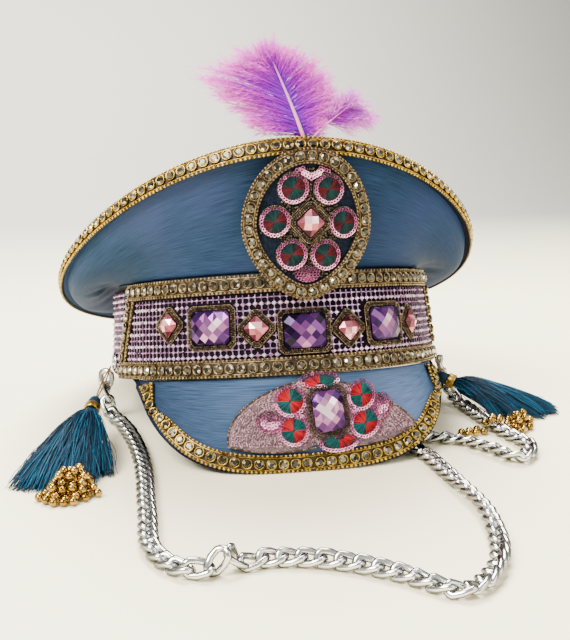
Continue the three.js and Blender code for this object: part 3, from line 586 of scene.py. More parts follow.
def spaced(line, pitch):
    """Points and headings at an even pitch along a line, their shares of it, and its length."""
    run = run_along(line)
    count = int(run[-1] / pitch)
    at = (np.arange(count) + 0.5) * run[-1] / count

    def spots(lengths):
        return np.stack([np.interp(lengths, run, line[:, k]) for k in range(3)], axis=-1)

    return spots(at), unit(spots(at + pitch / 2) - spots(at - pitch / 2)), at / run[-1], run[-1]


# %% Chain links
LINK = {"length": 13.4, "width": 9.0, "wire": 1.5, "pitch": 7.3, "twist": math.radians(-50)}
KINK = {"share": 0.335, "rise": 1.3}
CHAIN_ROLLS = [(0.335, 70, 0.012), (0.4, 25, 0.05), (0.52, -40, 0.03), (0.6, 30, 0.04), (0.8, -35, 0.03)]
LYING_BELOW = 3.5
OVER_TABLE = 0.1


def chain_link():
    """Oval link, pulled long and twisted along its length."""
    made = hoop(LINK["width"] / 2 - LINK["wire"], LINK["wire"], 16, 7)
    straight = (LINK["length"] - LINK["width"]) / 2
    for vert in made.verts:
        if abs(vert.co.x) > 1e-3:
            vert.co.x += math.copysign(straight, vert.co.x)
        swing = LINK["twist"] * vert.co.x / (LINK["length"] / 2)
        vert.co = Matrix.Rotation(swing, 3, "X") @ vert.co
    return made


# %% Lay the chain
chain_line = smooth_route(CHAIN_ROUTE)
spots, heading, share, chain_length = spaced(chain_line, LINK["pitch"])
kink = int(np.argmin(np.abs(share - KINK["share"])))
heading[kink] = unit(heading[kink] + (0, 0, KINK["rise"]))
heading[kink + 1] = unit(heading[kink + 1] - (0, 0, KINK["rise"]))
rng = np.random.default_rng(7)
roll = np.radians(rng.normal(0, 5, len(spots)))
for place, degrees, width in CHAIN_ROLLS:
    roll += math.radians(degrees) * np.exp(-((share - place) / width) ** 2)
aside = unit(np.cross((0, 0, 1), heading))
upward = np.cross(heading, aside)
swung = aside * np.cos(roll)[:, None] + upward * np.sin(roll)[:, None]
link = chain_link()
places = framed(spots, heading, swung, np.cross(heading, swung), hat=False)
link_points = np.array([vert.co for vert in link.verts])
lowest = (np.einsum("nj,kj->nk", places[:, 2, :3], link_points) + places[:, 2:3, 3]).min(axis=1)
lying = spots[:, 2] < LYING_BELOW
places[lying, 2, 3] += OVER_TABLE * MM - lowest[lying]

silver, tree, shader = finish("polished_silver", metallic=1.0)
shine = use(tree, polish, Scale=220.0, Smooth=0.1, Rough=0.3)
# Painted reflection: the base colour turns dark where the wire faces away from the camera, as if it mirrored
# a darker room.
turned_away = tree.nodes.new("ShaderNodeLayerWeight").outputs["Facing"]
silver_painted_reflection = ramp(
    tree, turned_away, (0.08, srgb(236, 236, 232)), (0.4, srgb(150, 150, 148)), (0.72, srgb(34, 34, 34)))
wire(tree, silver_painted_reflection, shader.inputs["Base Color"])
wire(tree, shine["Roughness"], shader.inputs["Roughness"])
piece("chain_links", copies(link, places), silver, ["chain"])
print("chain of", len(spots), "links,", round(chain_length), "mm long")

# %% [markdown]
# ## Satin crown
# The crown is a wall of blue satin that leaves the band, bellies out and meets a high front edge, and a
# top that rests on the band's back and hangs over it. It could be sculpted or draped, but a grid on the
# same curves as the solid keeps its form, with finer creases at the sides, and Solidify gives the cloth
# its thickness. The UV map runs round the wall, so it also tells the finish where to paint shade on the
# satin.

# %% Crown sizes
EDGE = {
    "half_x": 110, "half_y": 113, "forward": 1.2, "level": 60.5, "lean": 36.8, "saddle": 7.5, "crest": 0.7,
}
CLOTH = 2.0
TOP_DOME = 4.0
DRAPE = 60.0
SEAM = {"seat": 0.8, "back_seat": 3.8, "out": 0.9, "back_out": 1.7, "inset": 1.6}
WALL_DEGREES = [0, 45, 80, 110, 145, 180]
WALL = {
    "low_out": [5, 7, 9, 8, 4.5, 4],
    "low_up": [20, 16, 7, 3, -2, -3.5],
    "high_out": [-5, -4, 1, 3, -1, -3],
    "high_down": [20, 20, 22, 15, 1, -1],
}
FOLDS = [
    {"deg": -98, "spread": 11, "depth": 4.5, "at": 0.55, "tall": 0.3},
    {"deg": -124, "spread": 12, "depth": 3, "at": 0.55, "tall": 0.3},
    {"deg": 96, "spread": 12, "depth": 3, "at": 0.5, "tall": 0.3},
    {"deg": 122, "spread": 12, "depth": 2.5, "at": 0.55, "tall": 0.3},
]
CREASES = [
    {"deg": -76, "spread": 3, "depth": 1.8, "at": 0.26, "tall": 0.16},
    {"deg": -85, "spread": 3, "depth": 3.4, "at": 0.36, "tall": 0.2},
    {"deg": -94, "spread": 3, "depth": 3.0, "at": 0.5, "tall": 0.2},
    {"deg": -105, "spread": 4, "depth": 2.6, "at": 0.4, "tall": 0.26},
    {"deg": -114, "spread": 4, "depth": 2.0, "at": 0.45, "tall": 0.26},
    {"deg": 76, "spread": 3, "depth": 3.0, "at": 0.3, "tall": 0.18},
    {"deg": 88, "spread": 4, "depth": 2.6, "at": 0.42, "tall": 0.2},
    {"deg": 106, "spread": 4, "depth": 2.0, "at": 0.4, "tall": 0.26},
]


# %% Crown curves
def folded(p):
    return np.abs(np.arctan2(np.sin(p), np.cos(p)))


def backness(p):
    return (0.5 - 0.5 * np.cos(p)) ** 2


def edge_point(p):
    z = (EDGE["level"] + EDGE["lean"] * np.cos(p) + EDGE["saddle"] * np.cos(2 * p)
         + EDGE["crest"] * np.cos(3 * p))
    return oval(EDGE["half_x"], EDGE["half_y"], p, z) - (0, EDGE["forward"], 0)


def wall_value(p, column):
    degrees = np.degrees(folded(p))
    after = np.clip(np.searchsorted(WALL_DEGREES, degrees - 1e-6), 1, len(WALL_DEGREES) - 1)
    first, last = np.take(WALL_DEGREES, after - 1), np.take(WALL_DEGREES, after)
    share = np.clip((degrees - first) / (last - first), 0, 1)
    share = share * share * (3 - 2 * share)
    return np.take(WALL[column], after - 1) * (1 - share) + np.take(WALL[column], after) * share


def fold_depth(p, v):
    depth = 0
    for fold in FOLDS + CREASES:
        away = folded(p - math.radians(fold["deg"])) / math.radians(fold["spread"])
        depth = depth + fold["depth"] * np.exp(-away ** 2 - ((v - fold["at"]) / fold["tall"]) ** 2)
    return depth


def wall_point(p, v):
    p, v = np.broadcast_arrays(np.asarray(p, float), np.asarray(v, float))
    radial = np.stack([np.sin(p), -np.cos(p), 0 * p], axis=-1)
    upright = np.array([0.0, 0.0, 1.0])
    foot = band_point(p, BAND["height"] + GAP, BAND["wall"])
    head = edge_point(p)
    low_out, low_up, high_out, high_down = [wall_value(p, column)[..., None] for column in WALL]
    low = foot + radial * low_out + upright * low_up
    high = head + radial * high_out - upright * high_down
    s = v[..., None]
    curve = (1 - s) ** 3 * foot + 3 * s * (1 - s) ** 2 * low + 3 * s * s * (1 - s) * high + s ** 3 * head
    return curve - radial * fold_depth(p, v)[..., None]


def top_point(p, share):
    z = (EDGE["level"] + EDGE["lean"] * share * np.cos(p) + EDGE["saddle"] * share ** 2 * np.cos(2 * p)
         + EDGE["crest"] * share ** 3 * np.cos(3 * p) + TOP_DOME * (1 - share * share)
         + DRAPE * share ** 4 * (1 - share ** 6) * backness(p)
         + SEAM["seat"] + SEAM["back_seat"] * backness(p))
    half_x, half_y = [(EDGE[side] - SEAM["inset"]) * share for side in ("half_x", "half_y")]
    return oval(half_x, half_y, p, z) - (0, EDGE["forward"], 0)


def thicken(thing, depth, rim_slot=0):
    """Gives cloth its thickness below its outer face."""
    wall = thing.modifiers.new("thickness", "SOLIDIFY")
    wall.thickness = depth * MM
    wall.offset = -1
    wall.material_offset = rim_slot
    wall.material_offset_rim = rim_slot
    return thing


# %% Satin
def satin(name, tones, along, across, painted_shades):
    """Brushed satin from three tones, with (place, painted shade) steps along its UV map."""
    made, tree, shader = finish(name, specular_ior_level=0.04)
    where = tree.nodes.new("ShaderNodeTexCoord")
    aside = node(tree, "ShaderNodeSeparateXYZ", Vector=where.outputs["UV"])
    painted_shade_ramp = ramp(tree, aside.outputs["X"], *[(place, (*shade, 1)) for place, shade in painted_shades])
    deep, light, sheen = tones
    cloth = use(tree, brushed, Along=along, Across=across, Deep=deep, Light=light, Sheen=sheen, Shade=painted_shade_ramp)
    wire(tree, cloth["Colour"], shader.inputs["Base Color"])
    wire(tree, cloth["Roughness"], shader.inputs["Roughness"])
    wire(tree, bump(tree, cloth["Stroke"], 0.4, 0.25), shader.inputs["Normal"])
    return made


# %% Crown cloth
CROWN_TONES = (srgb(21, 38, 62), srgb(48, 71, 101), srgb(66, 72, 112))
# Painted shade round the crown: lightest at the left front, darker and bluer to the right and at the back;
# the top is painted darker to the right.
WALL_PAINTED_SHADE = [
    (0.0, (0.58, 0.68, 0.78)), (0.34, (1.0, 1.0, 1.0)), (0.46, (0.7, 0.74, 0.76)),
    (0.56, (0.54, 0.66, 0.74)), (0.66, (0.4, 0.62, 0.8)), (1.0, (0.58, 0.68, 0.78)),
]
TOP_PAINTED_SHADE = [(0.0, (0.8, 0.84, 0.88)), (1.0, (0.45, 0.54, 0.62))]
blue_satin = satin("blue_satin", CROWN_TONES, 44.0, 170.0, WALL_PAINTED_SHADE)
top_satin = satin("top_satin", CROWN_TONES, 14.0, 150.0, TOP_PAINTED_SHADE)


def side_cloth(u, v):
    return on_hat(wall_point((u - 0.5) * TURN, v))


def top_cloth(u, v):
    p = (u - 0.5) * TURN
    crown = top_point(p, v)
    crown[..., 2] += CLOTH - 1.4 * v ** 6 * (1 - backness(p))
    return on_hat(crown)


side_made = mapped(288, 40, side_cloth)
thicken(piece("crown_side_satin", side_made, blue_satin, ["crown_side"]), CLOTH)
top_made = mapped(192, 30, top_cloth)
flat_map = top_made.loops.layers.uv.active
for face in top_made.faces:
    for corner in face.loops:
        spot = corner.vert.co
        corner[flat_map].uv = (spot.x / 0.25 + 0.5, (spot.y - spot.z) / 0.3)
thicken(piece("crown_top_satin", top_made, top_satin, ["crown_top"]), CLOTH)

# %% [markdown]
# ## Peak
# The peak is a stiff shell under lighter blue satin, steep and square at the corners, with its edge on
# the table. It could be bent from a plate with modifiers, but it is mapped as the solid is, so that all
# that is sewn on it can use the same surface. Its satin is painted darker at the left side as shade. The
# underside is dark, and one row along the edge is dark as a painted shadow under the edge: these faces get
# a second material.

# %% Peak surface
PEAK = {
    "half_x": 75.6, "root_y": -39, "reach": 62.5, "square": 3.7,
    "drop": 53.2, "drop_square": 2.2, "rise": 7.6,
}
PEAK_ROOT = math.radians(66)
PEAK_BULGE = 1.5
PEAK_SLOPE = 46
PEAK_WALL = 1.2
PEAK_SPAN = 0.985


def super_arc(t, power):
    return np.maximum(0, 1 - np.abs(t) ** power) ** (1 / power)


def peak_edge(t):
    z = -0.6 - PEAK["drop"] * super_arc(t, PEAK["drop_square"]) + PEAK["rise"] * (1 - t * t) ** 2
    y = PEAK["root_y"] - PEAK["reach"] * super_arc(t, PEAK["square"])
    return np.stack([PEAK["half_x"] * t, y, z], axis=-1)


def peak_point(t, v):
    t, v = np.broadcast_arrays(np.clip(t, -1, 1), np.asarray(v, float))
    p = np.arcsin(t * math.sin(PEAK_ROOT))
    root = band_point(p, 0.0, NET_FACE - 0.6)
    root[..., 2] = -GAP - 0.3
    bulge = PEAK_BULGE * 4 * v * (1 - v) * (1 - t * t)
    outward = np.stack([np.sin(p), -np.cos(p), 0 * p], axis=-1)
    share = v[..., None]
    return peak_edge(t) * (1 - share) + root * share + outward * bulge[..., None]


def peak_across(share):
    s = np.sin((share - 0.5) * math.pi * PEAK_SPAN)
    return np.sign(s) * np.abs(s) ** (2 / PEAK["square"])


def settled(points, level=0.0):
    """Keeps cloth from sinking below a level over the table."""
    points[..., 2] = np.maximum(points[..., 2], level * MM)
    return points


def peak_cloth(u, v):
    return settled(on_hat(peak_point(peak_across(u), v)), PEAK_WALL)


# %% Peak cloth
PEAK_TONES = (srgb(48, 72, 106), srgb(92, 118, 158), srgb(102, 114, 156))
# Painted shade on the peak: nearly black at its left side, growing light towards the middle.
PEAK_PAINTED_SHADE = [(0.1, (0.16, 0.17, 0.17)), (0.38, (0.44, 0.46, 0.46)), (0.66, (1.0, 1.0, 1.0))]
peak_satin = satin("peak_satin", PEAK_TONES, 16.0, 120.0, PEAK_PAINTED_SHADE)
# One finish for the peak's dark underside and for the painted shadow along its edge.
underside_and_edge_shadow, tree, shader = finish("dark_underside_and_edge_shadow", roughness=0.8, specular_ior_level=0.1)
cloth = use(tree, strokes, Along=120.0, Across=120.0, Patches=20.0)
dark_tone = ramp(tree, cloth["Stroke"], (0.3, srgb(8, 11, 22)), (0.7, srgb(22, 28, 46)))
wire(tree, dark_tone, shader.inputs["Base Color"])
PEAK_ROWS = 30
peak_shell = piece("peak_satin_shell", mapped(168, PEAK_ROWS, peak_cloth), peak_satin, ["peak"])
peak_shell.data.materials.append(underside_and_edge_shadow)
flat_map = peak_shell.data.uv_layers[0].data
# The row along the edge takes the dark finish, a painted shadow under the peak's edge.
for face in peak_shell.data.polygons:
    height = np.mean([flat_map[corner].uv.y for corner in face.loop_indices])
    face.material_index = int(height < 1.2 / PEAK_ROWS)
thicken(peak_shell, PEAK_WALL, rim_slot=1)

# %% [markdown]
# ## Rhinestone strips
# Each gold strip is a tape with clear foil-backed crystals in round cups, and tiny gold beads and a cord
# along both edges. A curve with an Array modifier would do for one strip. Here four strips lie on three
# kinds of surface, so a lane gives a point for a share along the strip, a distance across it and a
# height, and the tape, the cups, the crystals, the cords and the beads all follow the same lane.

# %% Lanes on the band and the crown
TRIM = {"width": 8.4, "thick": 2.2, "pitch": 5.6}
PANEL_LOW = math.radians(72.5)
PANEL_HIGH = math.radians(64.5)
EDGE_LEAN = math.radians(16)
FRAME_LOW = TRIM["width"] / 2 - 0.2
FRAME_HIGH = BAND["height"] - TRIM["width"] / 2 - 0.6
GIRTH = (BAND["half_x"] + BAND["half_y"]) / 2


def band_face(p, z):
    return band_point(p, z, NET_FACE)


def panel_end(z):
    """Angle from the front at which the framed panel ends, smaller at the top."""
    return np.interp(z, [FRAME_LOW, FRAME_HIGH], [PANEL_LOW, PANEL_HIGH])


def frame_row(level):
    reach = panel_end(level) + TRIM["width"] / 2 / GIRTH
    return lambda s, a, h: lifted(band_face, (2 * s - 1) * reach, level + a, GAP + h)


def frame_end(side):
    low, high = FRAME_LOW + TRIM["width"] / 2, FRAME_HIGH - TRIM["width"] / 2

    def lane(s, a, h):
        z = low + (high - low) * s
        return lifted(band_face, side * panel_end(z) - a / GIRTH, z, GAP + h)

    return lane


def crown_lane(s, a, h):
    p = s * TURN
    radial = unit(np.stack([np.sin(p) / EDGE["half_x"], -np.cos(p) / EDGE["half_y"], 0 * p], axis=-1))
    out = h + SEAM["out"] + SEAM["back_out"] * backness(p)
    up = a - 1.25
    sideways = out * math.cos(EDGE_LEAN) - up * math.sin(EDGE_LEAN)
    rise = up * math.cos(EDGE_LEAN) + out * math.sin(EDGE_LEAN)
    return edge_point(p) + radial * sideways[..., None] + rise[..., None] * np.array([0.0, 0.0, 1.0])


# %% Lane on the badge
BADGE = {
    "half_width": 30.5, "half_height": 34.2, "centre": 69, "aside": 2.4, "turn": 0.05, "thick": 1.4,
    "low_y": -103.4, "high_y": -118.9, "curve": 88, "middle": (0.6, 1.0),
}


def badge(across, up):
    sine, cosine = math.sin(BADGE["turn"]), math.cos(BADGE["turn"])
    rise = up * cosine - across * sine
    share = (rise + BADGE["half_height"]) / (2 * BADGE["half_height"])
    swing = (BADGE["aside"] + across * cosine + up * sine) / BADGE["curve"]
    y = BADGE["low_y"] + (BADGE["high_y"] - BADGE["low_y"]) * share + BADGE["curve"] * (1 - np.cos(swing))
    return np.stack([BADGE["curve"] * np.sin(swing), y, BADGE["centre"] + rise], axis=-1)


def badge_top(across, up):
    return lifted(badge, across, up, BADGE["thick"])


def badge_middle(across, up):
    return badge_top(across + BADGE["middle"][0], up + BADGE["middle"][1])


def badge_ring(s, inset):
    sine, cosine = np.sin(s * TURN), np.cos(s * TURN)
    power = np.where(cosine < 0, 1.65, 2.0)
    swell = (np.abs(sine) ** power + np.abs(cosine) ** power) ** (-1 / power)
    across = -(BADGE["half_width"] - inset) * sine * swell
    return across, (BADGE["half_height"] - inset) * cosine * swell


def badge_lane(s, a, h):
    across, up = badge_ring(s, 3.4)
    before, after = badge_ring(s - 1e-4, 3.4), badge_ring(s + 1e-4, 3.4)
    run = np.hypot(after[0] - before[0], after[1] - before[1])
    inward_across = -(after[1] - before[1]) / run
    inward_up = (after[0] - before[0]) / run
    return lifted(badge_top, across + inward_across * a, up + inward_up * a, GAP + h)


# %% Lane on the peak
def nearest_on_peak(target, t, v):
    """Shares of the peak whose point lies nearest to a target, found step by step."""
    for _ in range(12):
        at = peak_point(t, v)
        across = (peak_point(t + 1e-4, v) - at) * 1e4
        up = (peak_point(t, v + 1e-4) - at) * 1e4
        miss = target - at
        cross = (across * up).sum(-1)
        wide, tall = (across ** 2).sum(-1), (up ** 2).sum(-1)
        along, rise = (miss * across).sum(-1), (miss * up).sum(-1)
        area = wide * tall - cross ** 2
        t = np.clip(t + (along * tall - rise * cross) / area, -0.99, 0.99)
        v = np.clip(v + (rise * wide - along * cross) / area, 0, 1)
    return t, v


PEAK_STRIP = {"outer": (0.965, 0.78), "inner": (0.87, 0.96), "end": 0.07, "lift": 0.8, "wide": 9.0}


def peak_lane(s, a, h):
    """Strip beside the peak's edge, whose two ends run up the sides to the band."""
    s, a, h = np.broadcast_arrays(s, a, h)
    middle = (s - PEAK_STRIP["end"]) / (1 - 2 * PEAK_STRIP["end"])
    past = np.maximum(-middle, middle - 1) * (1 - 2 * PEAK_STRIP["end"]) / PEAK_STRIP["end"]
    onward = np.clip(past, 0, 1)
    t = peak_across(0.1 + 0.8 * np.clip(middle, 0, 1))
    along = unit(peak_edge(np.minimum(1, t + 2e-3)) - peak_edge(np.maximum(-1, t - 2e-3)))
    inward = unit(np.cross(normal(peak_point, t, 0.12), along))
    inset = a + PEAK_STRIP["wide"] / 2 + 0.45
    t, v = nearest_on_peak(peak_edge(t) + inward * inset[..., None], t * 0.95, np.full_like(t, 0.1))
    share = inset / PEAK_STRIP["wide"]
    end_t = PEAK_STRIP["outer"][0] * (1 - share) + PEAK_STRIP["inner"][0] * share
    end_v = PEAK_STRIP["outer"][1] * (1 - share) + PEAK_STRIP["inner"][1] * share
    t, v = t + (np.sign(t) * end_t - t) * onward, v + (end_v - v) * onward
    return lifted(peak_point, t, v, 0.5 + PEAK_STRIP["lift"] * onward + h)


# %% Gold, tape and crystals
GOLD_POLISH = (260.0, 0.18, 0.4)
gold = polished("bright_gold", *GOLD_POLISH, (0.3, srgb(118, 92, 32)), (0.7, srgb(214, 180, 80)))
old_gold = polished("old_gold", *GOLD_POLISH, (0.3, srgb(72, 58, 40)), (0.7, srgb(160, 138, 100)))
tape = polished(
    "dark_tape", 700.0, 0.45, 0.8, (0.3, srgb(24, 18, 12)), (0.7, srgb(60, 46, 26)), metallic=0.3)
crystal = toned(
    "clear_crystal", "facet", (0.0, srgb(16, 14, 10)), (0.5, srgb(64, 58, 44)), (0.8, srgb(128, 120, 98)),
    (1.0, srgb(250, 246, 236)), metallic=0.6, roughness=0.08, coat_weight=0.6)

# %% Strips and the lanes they follow
TAPE_PROFILE = [(-0.5, 0), (0.5, 0), (0.5, 0.32), (0.3, 0.4), (-0.3, 0.4), (-0.5, 0.32)]
FRAME_ROWS = [frame_row(FRAME_LOW), frame_row(FRAME_HIGH), frame_end(-1), frame_end(1)]
FRAME_LANES = [(lane, False) for lane in FRAME_ROWS]
LANES = [
    {
        "name": "crown_trim", "node": "crown_edge_trim", "lanes": [(crown_lane, True)], "width": 8.3,
        "steps": 240,
    },
    {
        "name": "band_trim", "node": "band_frame", "lanes": FRAME_LANES, "width": 8.4,
        "steps": 90,
    },
    {
        "name": "badge_trim", "node": "medallion_trim", "lanes": [(badge_lane, True)], "width": 7.0,
        "steps": 96,
    },
    {
        "name": "peak_trim_strip", "node": "peak_trim", "lanes": [(peak_lane, False)], "width": 8.4,
        "steps": 110,
    },
]


# %% Places along a lane
def stations(lane, pitch, loop, across=0.0):
    """Even shares along a lane."""
    fine = np.linspace(0, 1, 801)
    line = lane(fine, np.full_like(fine, across), np.zeros_like(fine))
    run = run_along(line)
    count = max(2, round(run[-1] / pitch))
    offset = 0.0 if loop else 0.5
    return np.interp((np.arange(count) + offset) * run[-1] / count, run, fine)


def on_lane(lane, shares, across, height):
    """Places on a lane: x along it, y across it and z away from the hat."""
    across, height = np.full_like(shares, across), np.full_like(shares, height)
    along = unit(lane(shares + 1e-3, across, height) - lane(shares - 1e-3, across, height))
    side = lane(shares, across + 0.05, height) - lane(shares, across - 0.05, height)
    out = unit(np.cross(along, side))
    return framed(lane(shares, across, height), along, np.cross(out, along), out)


def tape_mesh(lane, loop, width, steps):
    corners = len(TAPE_PROFILE)
    profile = np.array([*TAPE_PROFILE, TAPE_PROFILE[0]])

    def place(u, v):
        corner = profile[np.rint(v * corners).astype(int)]
        return settled(on_hat(lane(u, corner[:, 0] * width, corner[:, 1] * TRIM["thick"])))

    return mapped(steps, corners, place, closed=True)


def merged(parts):
    """One bmesh from several."""
    whole = bmesh.new()
    for part in parts:
        mesh = bpy.data.meshes.new("part")
        part.to_mesh(mesh)
        part.free()
        whole.from_mesh(mesh)
        bpy.data.meshes.remove(mesh)
    return whole


def edge_cords(strip):
    """Thin gold cords between the cups and the beads at both edges of every lane."""
    shares = np.linspace(0, 1, 200)
    lines = []
    for lane, _ in strip["lanes"]:
        for side in (-1, 1):
            across = np.full_like(shares, side * (strip["width"] / 2 - 1.35))
            lines.append(settled(on_hat(lane(shares, across, np.full_like(shares, 1.0)))))
    return threads(np.array(lines), 0.32, 4)


def facet_mesh(template, places, numbers):
    """Copies in which every face has a number of its own."""
    return stored(copies(template, places), "facet", numbers, "FACE")


# %% Dress the strips
cup = spun([(1.75, 0.1), (2.4, 0.1), (2.5, 1.4), (2.25, 1.6), (2.0, 1.15)], 10)
stone = bmesh.new()
bmesh.ops.create_cone(stone, cap_ends=True, segments=8, radius1=2.1, radius2=1.1, depth=0.95)
bmesh.ops.translate(stone, verts=stone.verts, vec=(0, 0, 1.55))
rng = np.random.default_rng(11)
for strip in LANES:
    picot = 0.1 * strip["width"]
    metal = old_gold if strip["name"] in ("band_trim", "badge_trim") else gold
    cups, edges = [], []
    for lane, loop in strip["lanes"]:
        cups.append(on_lane(lane, stations(lane, TRIM["pitch"], loop), 0.0, 0.4 * TRIM["thick"]))
        for side in (-1, 1):
            across = side * (strip["width"] / 2 - 0.5)
            edges.append(on_lane(lane, stations(lane, 2.55 * picot, loop, across), across, 0.75))
    cups, edges = np.concatenate(cups), np.concatenate(edges)
    edges[:, 2, 3] = np.maximum(edges[:, 2, 3], picot * MM)
    tapes = merged([tape_mesh(lane, loop, strip["width"], strip["steps"]) for lane, loop in strip["lanes"]])
    # Painted glints: every crystal face gets a random brightness, kept lower on the two flat faces.
    painted_sparkle = rng.random((len(cups), len(stone.faces)))
    painted_sparkle[:, [len(face.verts) == 8 for face in stone.faces]] *= 0.7
    piece(strip["name"] + "_tape", tapes, tape, [strip["node"]], smooth=False)
    piece(strip["name"] + "_cups", copies(cup, cups), metal)
    crystals = facet_mesh(stone, cups, painted_sparkle)
    piece(strip["name"] + "_crystals", crystals, crystal, smooth=False)
    piece(strip["name"] + "_picots", copies(ball(picot), edges), metal)
    piece(strip["name"] + "_cords", edge_cords(strip), metal)

# %% [markdown]
# ## Piping under the crown's strip
# Where the strip is sewn to the crown's edge, a narrow fold of satin shows below it. Its colour is painted
# shade: dark along the strip's foot, at the front and at the right, and blue at the left, where light reaches
# it. A tube along the edge could stand for it, but a strip of faces between the strip's lower edge and the
# wall leaves no space at either side.

# %% Piping
PIPING = {"tuck": 0.8, "wall_share": 0.94}


def piping(u, v):
    p = u * TURN
    strip_foot = crown_lane(u, np.full_like(u, PIPING["tuck"] - LANES[0]["width"] / 2), np.zeros_like(u))
    share = v[..., None]
    return on_hat(strip_foot * (1 - share) + wall_point(p, np.full_like(p, PIPING["wall_share"])) * share)


piping_painted_shade, tree, shader = finish("piping_painted_shade", roughness=0.8, specular_ior_level=0.04)
where = tree.nodes.new("ShaderNodeTexCoord")
sides = node(tree, "ShaderNodeSeparateXYZ", Vector=where.outputs["Object"])
rows = node(tree, "ShaderNodeSeparateXYZ", Vector=where.outputs["UV"])
# Painted shade: the piping is dark along the strip's foot and everywhere right of the left side; only the lit
# left part is blue.
lit_tone_with_foot_shadow = ramp(tree, rows.outputs["Y"], (0.2, srgb(10, 13, 24)), (0.34, srgb(36, 56, 84)))
rightward_shade = between(tree, sides.outputs["X"], -0.1, -0.03)
wire(tree, mixed(tree, rightward_shade, lit_tone_with_foot_shadow, srgb(14, 18, 32)), shader.inputs["Base Color"])
piece("crown_piping", mapped(240, 2, piping), piping_painted_shade)

# %% [markdown]
# ## Crystal net on the band
# The band wears a metal net with a small pink crystal at every crossing, so dark square holes show
# between them. A texture could draw the net, but it would not sparkle, so crystals and little wire
# crosses are copied over the band's face, but not under the gold frame or the large stones. Every other
# row is smaller and darker, and each face has its own painted glint. The imported net stays as dark backing.

# %% Net
NET = {"pitch": 3.05, "first": 3.66, "row": 3.02, "rows": 14, "bar": 0.38, "bar_height": 0.5}
NET_STONE = {"radius": 1.05, "table": 0.5, "height": 0.8, "seat": 0.55, "small": 0.74}
BORDER_REACH = 2.8
PURPLE = {"width": 20, "height": 16, "thick": 4.2, "cut": 1.6, "turn": 0.0, "facet": 3.4}
PINK = {"width": 9, "height": 9, "thick": 4.0, "cut": 0.8, "turn": math.pi / 4, "facet": 3.0}
BAND_STONES = {
    "pink_1": (-70.6, 25.8, PINK), "purple_1": (-45.4, 23.6, PURPLE), "pink_2": (-22.8, 22.2, PINK),
    "purple_2": (-0.1, 20.0, PURPLE), "pink_3": (22.2, 20.1, PINK), "purple_3": (44.5, 21.1, PURPLE),
    "pink_4": (66.8, 21.0, PINK),
}
fine_angles = np.linspace(-math.pi, math.pi, 7201)
pace = np.hypot(
    (BAND["half_x"] + NET_FACE) * np.cos(fine_angles), (BAND["half_y"] + NET_FACE) * np.sin(fine_angles))
fine_arcs = np.cumsum(pace) * (TURN / 7200)
fine_arcs -= fine_arcs[3600]


def arc_face(arc, z):
    return band_face(np.interp(arc, fine_arcs, fine_angles), z)


def turned(across, up, angle):
    return across * math.cos(angle) + up * math.sin(angle), up * math.cos(angle) - across * math.sin(angle)


def on_surface(surface, across, up, height=0.0, turn=0.0, lean=0.0, sizes=1.0):
    """Places on a surface: turned about its normal, then leaning about the turned x axis."""
    across, up, turn, lean = np.broadcast_arrays(np.asarray(across, float), up, turn, lean)
    out = normal(surface, across, up)
    right = unit(surface(across + 0.1, up) - surface(across - 0.1, up))
    upward = np.cross(out, right)
    cosine, sine = np.cos(turn)[:, None], np.sin(turn)[:, None]
    x_axis = right * cosine + upward * sine
    y_axis = upward * cosine - right * sine
    y_lean = y_axis * np.cos(lean)[:, None] + out * np.sin(lean)[:, None]
    z_lean = out * np.cos(lean)[:, None] - y_axis * np.sin(lean)[:, None]
    return framed(lifted(surface, across, up, height), x_axis, y_lean, z_lean, sizes=sizes)


# %% Net crossings that stay free
girth_length = fine_arcs[-1] - fine_arcs[0]
columns = round(girth_length / NET["pitch"])
arcs = (np.arange(columns) + 0.5) * girth_length / columns + fine_arcs[0]
levels = NET["first"] + NET["row"] * np.arange(NET["rows"])
arcs, levels = [grid.ravel() for grid in np.meshgrid(arcs, levels)]
angles = np.abs(np.interp(arcs, fine_arcs, fine_angles))
half_trim = TRIM["width"] / 2
ends = panel_end(levels)
clear = np.abs(angles - ends) * GIRTH > half_trim + 0.9
clear &= (angles > ends) | ((levels > FRAME_LOW + half_trim + 0.5) & (levels < FRAME_HIGH - half_trim - 0.5))
for arc, level, cut in BAND_STONES.values():
    x, y = turned(arcs - arc, levels - level, cut["turn"])
    clear &= (np.abs(x) > cut["width"] / 2 + BORDER_REACH) | (np.abs(y) > cut["height"] / 2 + BORDER_REACH)
net_places = on_surface(arc_face, arcs[clear], levels[clear], 0.25)

# %% Net crystals and wires
net_stone = bmesh.new()
bmesh.ops.create_cone(
    net_stone, cap_ends=True, segments=6, radius1=NET_STONE["radius"], radius2=NET_STONE["table"],
    depth=NET_STONE["height"])
bmesh.ops.translate(net_stone, verts=net_stone.verts, vec=(0, 0, NET_STONE["seat"]))
cross = bmesh.new()
for size in ((NET["pitch"], NET["bar"], NET["bar_height"]), (NET["bar"], NET["row"], NET["bar_height"])):
    bar = bmesh.ops.create_cube(cross, size=1)["verts"]
    bmesh.ops.scale(cross, verts=bar, vec=size)
rng = np.random.default_rng(21)
pink_crystal = toned(
    "pink_crystal", "facet", (0.0, srgb(60, 36, 64)), (0.5, srgb(176, 116, 170)), (0.95, srgb(255, 226, 252)),
    metallic=0.5, roughness=0.16, coat_weight=0.2)
net_metal = polished("net_metal", 500.0, 0.25, 0.5, (0.3, srgb(90, 72, 100)), (0.7, srgb(178, 148, 190)))
